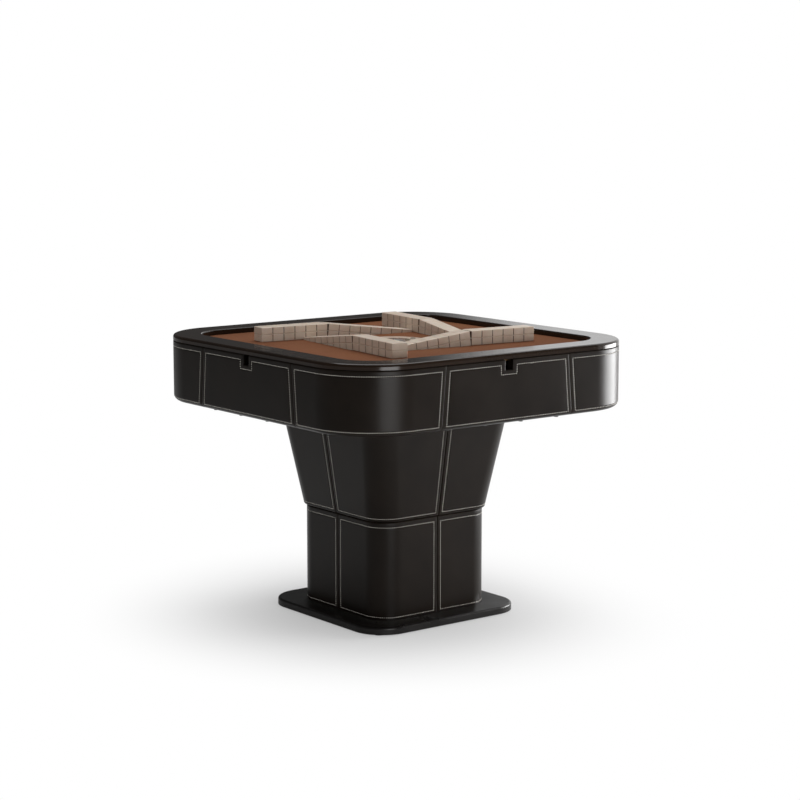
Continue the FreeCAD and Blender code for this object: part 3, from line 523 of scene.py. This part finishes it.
def cloth_finish():
    """Rust brown table cloth: a plain weave of two crossing sets of yarns under a short nap."""
    found = Finish("play_cloth_weave", Roughness=0.93, Specular_IOR_Level=0.08, Sheen_Weight=0.06,
                   Sheen_Roughness=0.5)
    weave = found.times(found.bands(210, "X", distortion=0.6), found.bands(210, "Y", distortion=0.6))
    nap = found.noise(900, roughness=0.7)
    patches = found.noise(5, detail=4)
    tone = found.blend(found.spread(patches), shade(120, 74, 45), shade(136, 86, 54))
    # painted shade: the cloth is darker where the weave and nap are low, between the yarns
    wear_and_weave_shade = found.ranged(found.sum(weave, nap), 0.3, 1.2, 0.55, 0)
    found.colour(found.blend(wear_and_weave_shade, tone, shade(90, 52, 31)))
    found.surface(found.relief(found.sum(weave, found.times(nap, 0.6)), 0.0004, 0.6))
    return found.material


def tile_finish():
    """Polished resin tiles: warm ivory with faint clouds, painted shade where two tiles meet, and
    fine scratches in the gloss."""
    found = Finish("ivory_resin", Specular_IOR_Level=0.45, Subsurface_Weight=0.08,
                   Subsurface_Scale=0.004)
    clouds = found.noise(34, detail=4)
    grains = found.noise(700, detail=2)
    scratches = found.noise(60, detail=6, roughness=0.8, place=found.stretched(y=9))
    tone = found.blend(found.spread(clouds), shade(214, 196, 178), shade(225, 210, 194))
    tone = found.blend(found.times(grains, 0.12), tone, shade(150, 126, 104))
    # painted shade: faces that stand upright and face the next tile are painted dark brown, for the
    # shade in the gaps between the tiles
    joint = found.ranged(found.attribute("joint"), 0.2, 0.8, 0, 1)
    found.colour(found.blend(joint, tone, shade(80, 56, 42)))
    found.rough(found.spread(scratches, 0.26, 0.38))
    found.surface(found.relief(grains, 0.0001, 0.15))
    return found.material


def coat_finish(name, dark, light, gloss, grain=1400, depth=0.00012):
    """Sprayed or moulded coat: orange peel, fine speckle and a slow change of tone."""
    found = Finish(name, Specular_IOR_Level=0.4)
    peel = found.noise(grain, detail=2)
    patches = found.noise(9, detail=4)
    speckle = found.ranged(found.sum(patches, found.times(peel, 0.3)), 0.4, 0.95, 0, 1)
    found.colour(found.blend(speckle, dark, light))
    found.rough(found.spread(patches, gloss - 0.05, gloss + 0.07))
    found.surface(found.relief(peel, depth, 0.5))
    return found.material


def board_finish(name, dark, light, gloss):
    """Sawn or lacquered board: long fibres, slow year rings and fine pores along them."""
    found = Finish(name, Specular_IOR_Level=0.35)
    fibre = found.noise(42, detail=6, roughness=0.65, place=found.stretched(0.5, 9, 9))
    rings = found.bands(9, "Z", distortion=3.2, place=found.stretched(0.35, 1, 2.2))
    pores = found.noise(500, detail=2, place=found.stretched(x=0.12))
    found.colour(found.blend(found.times(fibre, rings), dark, light))
    found.rough(found.spread(fibre, gloss - 0.06, gloss + 0.08))
    found.surface(found.relief(found.sum(fibre, pores), 0.0002, 0.4))
    return found.material


def metal_finish(name, dark, light, gloss):
    """Drawn or zinc plated steel: fine lines along it, faint spangle and smudged gloss."""
    found = Finish(name, Metallic=1.0)
    lines = found.noise(500, roughness=0.6, place=found.stretched(z=0.04))
    spangle = found.cells(90)
    found.colour(found.blend(found.sum(lines, found.times(spangle, 0.4)), dark, light))
    found.rough(found.spread(lines, gloss - 0.08, gloss + 0.1))
    found.surface(found.relief(lines, 0.00005, 0.4))
    return found.material


def shell_finish():
    """Champagne console shell: satin moulding with rings turned finely into its face."""
    found = Finish("console_shell_satin", Specular_IOR_Level=0.5, Coat_Weight=0.25,
                   Coat_Roughness=0.18)
    rings = found.add("TexWave", {"Vector": found.place, "Scale": 260.0}, wave_type="RINGS",
                      rings_direction="Z").outputs["Fac"]
    flow = found.noise(30, detail=4)
    found.colour(found.blend(found.spread(flow), shade(196, 174, 156), shade(208, 188, 170)))
    found.rough(found.spread(flow, 0.28, 0.38))
    found.surface(found.relief(rings, 0.00006, 0.5))
    return found.material


def clear_finish():
    """Clear acrylic: glass-like, with a trace of smudges in its gloss."""
    found = Finish("clear_acrylic", Transmission_Weight=1.0, IOR=1.49,
                   Base_Color=(0.97, 0.98, 0.98, 1))
    smudges = found.noise(40, detail=5)
    found.rough(found.ranged(smudges, 0.35, 0.8, 0.01, 0.09))
    found.surface(found.relief(smudges, 0.00005, 0.1))
    return found.material


# Under a roughness of about 0.28 the large dark panels render with blotches
BODY_GLOSS = 0.31
BODY_LEATHER = leather("saddle_leather", shade(21, 16, 12), shade(28, 22, 17), shade(42, 35, 28),
                       BODY_GLOSS, Specular_IOR_Level=0.14)
RIM_LEATHER = leather("rim_leather", shade(30, 21, 14), shade(38, 27, 19), shade(52, 39, 28),
                      0.14, Specular_IOR_Level=0.3)
THREAD = thread_finish()
PIP = coat_finish("pip_paint", shade(24, 22, 22), shade(34, 30, 30), 0.35)
RED_PIP = coat_finish("red_pip_paint", shade(140, 22, 20), shade(164, 30, 26), 0.35)
TRIM = metal_finish("satin_trim", (0.42, 0.36, 0.28, 1), (0.62, 0.55, 0.45, 1), 0.28)
FELT = coat_finish("drawer_felt", shade(44, 38, 33), shade(58, 50, 43), 0.9, grain=900,
                   depth=0.0005)

SLOT_FINISHES = {
    "rim_leather": RIM_LEATHER,
    "cloth": cloth_finish(),
    "tile": tile_finish(),
    "body_leather": BODY_LEATHER,
    "stained_board": board_finish("black_stained_board", shade(24, 21, 19), shade(36, 32, 29), 0.55),
    "black_steel": coat_finish("black_oxide", shade(22, 22, 22), shade(32, 31, 31), 0.4),
    "board": board_finish("sealed_board", shade(120, 92, 62), shade(176, 144, 104), 0.6),
    "tray": board_finish("lacquered_tray", shade(38, 27, 20), shade(66, 48, 36), 0.35),
    "carcass": board_finish("raw_plywood", shade(140, 110, 76), shade(190, 158, 116), 0.75),
    "dice": coat_finish("dice_resin", shade(222, 216, 200), shade(236, 231, 218), 0.22),
    "base_coat": coat_finish("base_powder_coat", shade(17, 15, 14), shade(25, 22, 20), 0.3),
    "glide": coat_finish("glide_rubber", shade(26, 25, 25), shade(38, 36, 35), 0.8),
    "steel": metal_finish("zinc_steel", (0.42, 0.42, 0.43, 1), (0.62, 0.62, 0.63, 1), 0.34),
    "dark_plastic": coat_finish("dark_moulding", shade(42, 41, 41), shade(54, 53, 52), 0.5),
    "console_shell": shell_finish(),
    "clear": clear_finish(),
    "dice_plate": coat_finish("dice_plate_flock", shade(62, 34, 26), shade(84, 48, 36), 0.92,
                              grain=900, depth=0.0004),
    "button": coat_finish("button_gloss", shade(30, 27, 25), shade(44, 39, 36), 0.16),
    "machine_plastic": coat_finish("machine_moulding", shade(128, 132, 136), shade(150, 153, 156),
                                   0.5),
    "rubber": coat_finish("wheel_rubber", shade(34, 33, 33), shade(48, 46, 45), 0.85),
    "machine_metal": coat_finish("machine_paint", shade(104, 106, 110), shade(126, 128, 131), 0.42),
    "black_plastic": coat_finish("small_black", shade(18, 17, 16), shade(26, 25, 24), 0.3),
}
for part in frame["record"]["subparts"]:
    dressed = frame["nodes"][part["node"]].data
    dressed.materials.clear()
    dressed.materials.append(SLOT_FINISHES[part["material_slot"]])


# Leather panels and their stitches

SKIRT_SEAM = straight((SKIRT_LOW, SKIRT_HIGH), SKIRT_SEAMS)
SKIRT_TURN = quarter_line(TABLE_HALF, TABLE_CORNER)
LOWER_TURN = quarter_line(LOWER_HALF, LOWER_CORNER)
UPPER_HALF = straight((UPPER_SLOPE_START, SKIRT_LOW), UPPER_HALVES)
SKIRT = {"low": SKIRT_LOW, "high": SKIRT_HIGH, "rounds": SKIRT_ROUNDS, "stitches": SKIRT_STITCHES,
         "thick": SKIRT_THICK, "half": steady(TABLE_HALF), "corner": TABLE_CORNER,
         "inset": steady(SKIRT_INSET), "pitch": SKIRT_PITCH}
PILLAR = {"thick": PILLAR_THICK, "start": steady(PILLAR_SEAM), "pitch": PILLAR_PITCH}
DRAWER_PANEL = Panel(start=lambda up: SEAM_GAP - SKIRT_SEAM(up),
                     end=lambda up: SKIRT_SEAM(up) - SEAM_GAP, notched=True, **SKIRT)
CORNER_PANEL = Panel(start=lambda up: SKIRT_SEAM(up) + SEAM_GAP,
                     end=lambda up: SKIRT_TURN - SKIRT_SEAM(up) - SEAM_GAP, **SKIRT)
LOWER_PANEL = Panel(low=BASE_TOP, high=LOWER_HIGH, rounds=LOWER_ROUNDS, stitches=LOWER_STITCHES,
                    half=steady(LOWER_HALF), corner=LOWER_CORNER,
                    end=steady(LOWER_TURN - PILLAR_SEAM), inset=steady(LOWER_INSET), **PILLAR)
UPPER_PANEL = Panel(low=UPPER_LOW, high=SKIRT_LOW, rounds=UPPER_ROUNDS, stitches=UPPER_STITCHES,
                    half=UPPER_HALF, corner=UPPER_CORNER,
                    end=lambda up: quarter_line(UPPER_HALF(up), UPPER_CORNER) - PILLAR_SEAM,
                    inset=straight(UPPER_STITCHES, UPPER_INSETS), **PILLAR)


def rounded_loop(corners, radius):
    """A closed line through corners: straight runs, and at each corner the parabola between the
    points a radius before it and a radius after it."""
    corners = np.array(corners, float)
    before = np.roll(corners, 1, 0) - corners
    after = np.roll(corners, -1, 0) - corners
    starts = corners + before * (radius / np.linalg.norm(before, axis=1))[:, None]
    ends = corners + after * (radius / np.linalg.norm(after, axis=1))[:, None]
    way = np.linspace(0, 1, BEND_POINTS)[None, :, None]
    bends = ((1 - way) ** 2 * starts[:, None] + 2 * way * (1 - way) * corners[:, None]
             + way * way * ends[:, None])
    run = np.linspace(0, 1, RUN_POINTS)[None, 1:-1, None]
    straights = ends[:, None] + (np.roll(starts, -1, 0) - ends)[:, None] * run
    return np.concatenate([bends, straights], 1).reshape(-1, 2)


def spaced(pitch, line, outward):
    """Places at even steps of one stitch along a closed line of points, with the line's own
    direction and the outward direction at each."""
    loop = np.vstack([line, line[:1]])
    run = np.r_[0, np.cumsum(np.linalg.norm(np.diff(loop, axis=0), axis=1))]
    count = int(round(run[-1] / pitch))
    at = (np.arange(count) + 0.5) * run[-1] / count

    def read(values, places):
        """Values that go with the line's points, at other places on the line."""
        closed = np.vstack([values, values[:1]])
        return np.stack([np.interp(places, run, closed[:, axis]) for axis in range(3)], -1)

    return read(line, at), read(line, at + pitch / 4) - read(line, at - pitch / 4), read(outward, at)


def threads(pitch, places, directions, outward):
    """Short threads, one at each place: rings across a stitch, whose radius falls as the square
    root of one less the fourth power of the share of the way to its end. Each is closed to a point
    at both ends, a little flat, and laid a little aslant."""
    outward = unit(outward)
    ahead = unit(directions - outward * (directions * outward).sum(-1, keepdims=True))
    across = np.cross(outward, ahead)
    ahead, across = (ahead * math.cos(THREAD_SLANT) + across * math.sin(THREAD_SLANT),
                     across * math.cos(THREAD_SLANT) - ahead * math.sin(THREAD_SLANT))
    half = pitch * THREAD_SHARE
    radius = THREAD_RADIUS * (1 - THREAD_STATIONS ** 4) ** 0.5
    angle = np.arange(THREAD_SIDES) * 2 * math.pi / THREAD_SIDES
    rings = np.stack([np.repeat(THREAD_STATIONS * half, THREAD_SIDES),
                      np.outer(radius, np.cos(angle)).ravel(),
                      np.outer(radius, np.sin(angle)).ravel() * THREAD_HEIGHT], -1)
    shape = np.vstack([rings, [(-half, 0, -THREAD_LIFT), (half, 0, -THREAD_LIFT)]])
    axes = np.stack([ahead, across, outward], 1)
    points = places[:, None] + np.einsum("vk,nkc->nvc", shape, axes)
    faces = stack_faces(THREAD_SIDES, len(THREAD_STATIONS))
    return points.reshape(-1, 3), repeated(faces, len(places), len(shape))


def clad(node, panel, quarter, body):
    """The leather over one panel, and its stitches. The skin is a grid whose rows are heights and
    whose columns are lengths along the outline, at the panel's depth, closed by a back."""
    up = panel.rows()
    along = panel.columns(up)
    height = np.broadcast_to(up[:, None], along.shape)
    depth = panel.depth(along, height)
    front, _ = panel.points(along, height, depth)
    back, _ = panel.points(along, height, np.full(along.shape, float(panel.thick)))
    middle = (along[:-1, :-1] + along[1:, 1:]) / 2
    in_notch = (np.abs(middle) < NOTCH_HALF) & (height[:-1, :-1] >= NOTCH_FLOOR - JUST_UNDER)
    points, faces, used = shell(front, back, ~(in_notch & panel.notched))
    edge = np.minimum(panel.side(along, height), panel.high - height)
    fold = np.clip(1 - edge / WORN_REACH, 0, 1)
    # painted shade: how deep each point lies in a stitch channel, which the leather finish paints as
    # shade
    channel = np.clip((depth - panel.edges(along, height)) / CHANNEL_DEPTH, 0, 1)
    behind = np.zeros(along.size)
    skin = piece(f"{node}_leather", turned(points, quarter), [faces], body, BODY_LEATHER,
                 "body_leather", fold=np.concatenate([fold.ravel(), behind])[used],
                 channel=np.concatenate([channel.ravel(), behind])[used])
    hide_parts(node)

    line = rounded_loop(panel.stitch_line(), STITCH_BEND)
    depths = panel.depth(line[:, 0], line[:, 1]) - THREAD_LIFT
    sewn, faces = threads(panel.pitch, *spaced(panel.pitch, *panel.points(line[:, 0], line[:, 1],
                                                                          depths)))
    piece(f"{node}_stitching", turned(sewn, quarter), faces, body, THREAD, "body_leather")


for quarter, side_name in enumerate(SIDES):
    clad(f"drawer_front_{side_name}", DRAWER_PANEL, quarter, f"drawer_{side_name}")
for quarter, corner_name in enumerate(CORNERS):
    clad(f"skirt_corner_{corner_name}", CORNER_PANEL, quarter, "table")
    clad(f"lower_panel_{corner_name}", LOWER_PANEL, quarter, "table")
    clad(f"upper_panel_{corner_name}", UPPER_PANEL, quarter, "table")


# Play cloth

cloth = merged_copy("play_cloth", "play_cloth_sheet", "table", "cloth")
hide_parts("play_cloth")


# Tile rows

ROW_ANGLE = math.radians(6.7)
TILE_PITCH = 34
TILE_SMOOTH = 60


def mark_joints(row, quarter):
    """Writes on each face of a row of tiles how much painted shade it gets for the gap to the next
    tile: how squarely it is upright and faces the next tile, and nothing on the two faces that end
    the row."""
    outward = np.empty(len(row.data.polygons) * 3)
    row.data.polygons.foreach_get("normal", outward)
    outward = outward.reshape(-1, 3)
    middles = np.empty(outward.size)
    row.data.polygons.foreach_get("center", middles)
    ahead = turned((math.cos(ROW_ANGLE), -math.sin(ROW_ANGLE), 0), quarter)
    along = middles.reshape(-1, 3) @ ahead / METRE
    inner = (along > along.min() + TILE_PITCH / 3) & (along < along.max() - TILE_PITCH / 3)
    upright = np.clip(1 - 2 * np.abs(outward[:, 2]), 0, 1)
    row.data.attributes.new("joint", "FLOAT", "FACE").data.foreach_set(
        "value", inner * upright * np.abs(outward @ ahead))


for quarter, side_name in enumerate(SIDES):
    row = merged_copy(f"tile_row_{side_name}", f"tile_row_{side_name}_resin", "table", "tile",
                      TILE_SMOOTH)
    row.modifiers.new("flat_faces", "WEIGHTED_NORMAL").keep_sharp = True
    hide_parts(f"tile_row_{side_name}")
    mark_joints(row, quarter)


# Trim of the console

CONSOLE_TOP = 746
BUTTON_REACH = 66
# a ring's profile gives its radii, and heights over the console's top
BUTTON_RING_STEPS = 40
BUTTON_RING = ((7.6, -0.2), (9.6, -0.2), (9.4, 0.5), (8.5, 0.9), (7.7, 0.5))
DOME_RING_STEPS = 96
DOME_RING = ((44.6, -0.2), (48, -0.2), (47.6, 0.6), (46.3, 1.1), (45, 0.6))


def console_ring(name, profile, segments, centre):
    """A satin ring on the console's top."""
    points, faces = lathe(np.array(profile) + (0, CONSOLE_TOP), segments, centre)
    piece(name, points, faces, "console", TRIM, "console_shell")


for quarter, side_name in enumerate(SIDES):
    console_ring(f"roll_button_ring_{side_name}", BUTTON_RING, BUTTON_RING_STEPS,
                 turned((0, -BUTTON_REACH, 0), quarter)[:2])
console_ring("dome_seat_ring", DOME_RING, DOME_RING_STEPS, (0, 0))


# Pips of the dice

PIP_SPOTS = {1: [(0, 0)], 2: [(-1, -1), (1, 1)], 3: [(-1, -1), (0, 0), (1, 1)],
             4: [(-1, -1), (-1, 1), (1, -1), (1, 1)],
             5: [(-1, -1), (-1, 1), (0, 0), (1, -1), (1, 1)],
             6: [(-1, -1), (-1, 0), (-1, 1), (1, -1), (1, 0), (1, 1)]}
# each die's place on the plate, and its turn in degrees
DICE = (((13, 0), 13), ((-13, 0), 26))
DICE_MIDDLE = 741.6
DIE_HALF = 4
PIP_STEP = 2
PIP_RADIUS = 0.75
LARGE_PIP = 1.5
PIP_SIDES = 10
# each ring's share of the pip's radius, and its lift over the die's face
PIP_RINGS = ((1, -0.12), (1, 0.03), (0.6, 0.07))
PIP_ENDS = (-0.12, 0.08)


def pip_points(outward, sideways, spot, radius):
    """One painted pip: a low cap on a face of a die, rings of points about the face's direction
    that get narrower as they rise, and a point under and over them."""
    up = np.cross(outward, sideways)
    middle = outward * DIE_HALF + sideways * spot[0] * PIP_STEP + up * spot[1] * PIP_STEP
    angle = np.arange(PIP_SIDES) * 2 * math.pi / PIP_SIDES
    circle = np.outer(np.cos(angle), sideways) + np.outer(np.sin(angle), up)
    rings = [middle + outward * lift + radius * share * circle for share, lift in PIP_RINGS]
    return np.vstack([*rings, *[middle + outward * lift for lift in PIP_ENDS]])


def build_pips():
    """The pips of both dice: opposite faces add up to seven, and one and four are red."""
    axes = np.eye(3)
    faces_of_cube = ((axes[2], axes[0], 5), (-axes[2], axes[0], 2), (axes[0], axes[1], 1),
                     (-axes[0], axes[1], 6), (axes[1], axes[2], 4), (-axes[1], axes[2], 3))
    for colour, paint, counts in (("black", PIP, (2, 3, 5, 6)), ("red", RED_PIP, (1, 4))):
        pips = []
        for middle, turn in DICE:
            angle = math.radians(turn)
            spin = np.array([(math.cos(angle), -math.sin(angle), 0),
                             (math.sin(angle), math.cos(angle), 0), (0, 0, 1)])
            for outward, sideways, count in faces_of_cube:
                if count in counts:
                    radius = PIP_RADIUS * (LARGE_PIP if count == 1 else 1)
                    pips += [pip_points(outward, sideways, spot, radius) @ spin.T
                             + (*middle, DICE_MIDDLE) for spot in PIP_SPOTS[count]]
        faces = stack_faces(PIP_SIDES, len(PIP_RINGS))
        piece(f"dice_pips_{colour}", np.concatenate(pips),
              repeated(faces, len(pips), len(pips[0])), "dice_turner", paint, "dice")


build_pips()


# Drawer liners

LINER_REACH = (158, 64)
LINER_CORNER = 3
LINER_MIDDLE = -397
LINER_LEVELS = (629.02, 630.4)
LINER_LINES = 5


def liner_points():
    """The felt in the front drawer: the outline of a rounded rectangle at two levels, each corner
    a quarter circle, and the middle of each level."""
    turn = np.linspace(0, QUARTER, LINER_LINES)
    bend = np.concatenate([turn + corner * QUARTER for corner in range(4)])
    signs = np.repeat([(1, 1), (-1, 1), (-1, -1), (1, -1)], LINER_LINES, axis=0)
    arcs = LINER_CORNER * np.stack([np.cos(bend), np.sin(bend)], -1)
    outline = signs * (np.array(LINER_REACH) - LINER_CORNER) + arcs + (0, LINER_MIDDLE)
    layers = [np.column_stack([outline, np.full(len(outline), level)]) for level in LINER_LEVELS]
    return np.vstack([*layers, [(0, LINER_MIDDLE, level) for level in LINER_LEVELS]])


for quarter, side_name in enumerate(SIDES):
    liner = piece(f"drawer_liner_{side_name}", turned(liner_points(), quarter),
                  stack_faces(4 * LINER_LINES, len(LINER_LEVELS)), f"drawer_{side_name}", FELT,
                  "tray")


# Studio

# the way to the studio's light side, and how squarely a ray goes there where the white begins to
# show in reflections and where it shows in full
LIGHT_SIDE = (1.0, 0.05, 0)
LIGHT_SIDE_EDGE = (0.65, 0.7)
DARK_SIDE_LEVEL = 0.06
FILL_LEVEL = 0.35
# each lamp's place, its size and its power
LAMPS = {
    "overhead_softbox": ((0.9, 0.6, 3.6), (3.2, 3.2), 78),
    "front_softbox": ((-0.65, -2.93, 0.5), (1.4, 0.9), 25),
    "right_softbox": ((2.38, -0.82, 0.5), (1.4, 0.8), 62),
}
LAMP_AIM = (0, 0, 0.55)
FLOOR_RADII = (500, 1000, 2000, 4000, 8000, 14000)
FLOOR_SIDES = 64
FLOOR_TONES = ((0.84, 0.84, 0.84, 1), (0.87, 0.87, 0.87, 1))
# distances from the table's middle over which the floor turns white, and shows so in reflections
FLOOR_FADE = (0.2, 0.9)
FLOOR_REFLECTED = (0.35, 0.7)
FLOOR_LEAST = 0.35
EYE_PLACE = (-3.4736, -4.5315, 1.4405)
EYE_TILT = math.radians(81.439)
EYE_TURN = math.radians(-37.637)
LENS_LENGTH = 94.601
SENSOR_WIDTH = 36


def background_rays(found, place, least, reach=1.0):
    """How much of the white background a ray sees: all of it for a camera or transmitted ray. A
    reflected one sees more towards the studio's light side than towards its dark side, times
    reach, and any other ray sees none."""
    path = found.add("LightPath")
    way = found.add("VectorMath", {0: place}, operation="NORMALIZE").outputs[0]
    side = found.add("VectorMath", {0: way, 1: LIGHT_SIDE}, operation="DOT_PRODUCT")
    share = found.times(found.eased(side.outputs["Value"], *LIGHT_SIDE_EDGE, least, 1.0), reach)
    seen = found.sum(path.outputs["Is Camera Ray"], path.outputs["Is Transmission Ray"], "MAXIMUM")
    return found.sum(seen, found.times(path.outputs["Is Glossy Ray"], share), "MAXIMUM")


def floor_paint():
    """Pale speckled paint that takes the table's shadow. Further out it glows as the white
    background for the rays that see it, and from below it can be seen through."""
    found = Finish("studio_floor_paint", Roughness=0.85, Specular_IOR_Level=0.1)
    found.colour(found.blend(found.noise(3), *FLOOR_TONES))
    away = found.add("VectorMath", {0: found.place}, operation="LENGTH").outputs["Value"]
    fade = found.eased(away, *FLOOR_FADE, FLOOR_LEAST, 1.0)
    reach = found.ranged(away, *FLOOR_REFLECTED, 0.0, 1.0)
    share = found.times(fade, background_rays(found, found.place, 0.0, reach))
    glow = found.add("Emission", {"Color": (1, 1, 1, 1), "Strength": 1.0}).outputs[0]
    above = found.add("MixShader", {0: share, 1: found.shader.outputs[0], 2: glow}).outputs[0]
    below = found.add("NewGeometry").outputs["Backfacing"]
    clear = found.add("BsdfTransparent").outputs[0]
    shown = found.add("MixShader", {0: below, 1: above, 2: clear}).outputs[0]
    out = [node for node in found.tree.nodes if node.type == "OUTPUT_MATERIAL"][0]
    found.tree.links.new(shown, out.inputs["Surface"])
    return found.material


def studio_floor():
    """A wide disc: rings of points of growing radius about a middle point."""
    angle = np.arange(FLOOR_SIDES) * 2 * math.pi / FLOOR_SIDES
    radii = np.array(FLOOR_RADII)[:, None]
    rings = np.stack([radii * np.cos(angle), radii * np.sin(angle), 0 * radii * angle], -1)
    index = np.arange(rings[..., 0].size).reshape(rings.shape[:2])
    after = np.roll(index, -1, 1)
    walls = np.stack([index[:-1], index[1:], after[1:], after[:-1]], -1).reshape(-1, 4)
    middle = np.stack([index[0], after[0], np.full(FLOOR_SIDES, index.size)], -1)
    points = np.vstack([rings.reshape(-1, 3), [(0, 0, 0)]]) * METRE
    mesh = bpy.data.meshes.new("studio_floor")
    mesh.from_pydata(points.tolist(), [], [*walls.tolist(), *middle.tolist()])
    mesh.materials.append(floor_paint())
    floor = bpy.data.objects.new("studio_floor", mesh)
    bpy.context.scene.collection.objects.link(floor)


class Sky(Finish):
    """The world's nodes, with the same helpers as a finish."""

    def __init__(self, world):
        world.use_nodes = True
        self.tree = world.node_tree
        self.place = self.add("TexCoord").outputs["Generated"]


def studio_light():
    """A white world that gives the object a plain fill, and lamps that are aimed at a point on its
    upright axis, under the top."""
    world = bpy.data.worlds.new("studio_world")
    bpy.context.scene.world = world
    sky = Sky(world)
    path = sky.add("LightPath")
    direct = sky.sum(path.outputs["Is Camera Ray"],
                     sky.sum(path.outputs["Is Glossy Ray"], path.outputs["Is Transmission Ray"]))
    fill = sky.times(sky.sum(1.0, direct, "SUBTRACT"), FILL_LEVEL)
    level = sky.sum(background_rays(sky, sky.place, DARK_SIDE_LEVEL), fill)
    ground = [node for node in sky.tree.nodes if node.type == "BACKGROUND"][0]
    ground.inputs["Color"].default_value = (1, 1, 1, 1)
    sky.tree.links.new(level, ground.inputs["Strength"])
    for name, (place, size, power) in LAMPS.items():
        lamp = bpy.data.lights.new(name, "AREA")
        lamp.shape = "RECTANGLE"
        lamp.size, lamp.size_y = size
        lamp.energy = power
        holder = bpy.data.objects.new(name, lamp)
        bpy.context.scene.collection.objects.link(holder)
        away = np.array(place) - LAMP_AIM
        flat = math.hypot(away[0], away[1])
        holder.location = place
        holder.rotation_euler = (math.atan2(flat, away[2]), 0, math.atan2(away[0], -away[1]))


def studio_camera():
    """The photograph's view: its place, direction and lens were solved from points of the table."""
    lens = bpy.data.cameras.new("photo_camera")
    lens.sensor_width = SENSOR_WIDTH
    lens.lens = LENS_LENGTH
    eye = bpy.data.objects.new("photo_camera", lens)
    bpy.context.scene.collection.objects.link(eye)
    eye.location = EYE_PLACE
    eye.rotation_euler = (EYE_TILT, 0, EYE_TURN)
    bpy.context.scene.camera = eye


studio_floor()
studio_light()
studio_camera()
bpy.context.scene.view_settings.view_transform = "Standard"
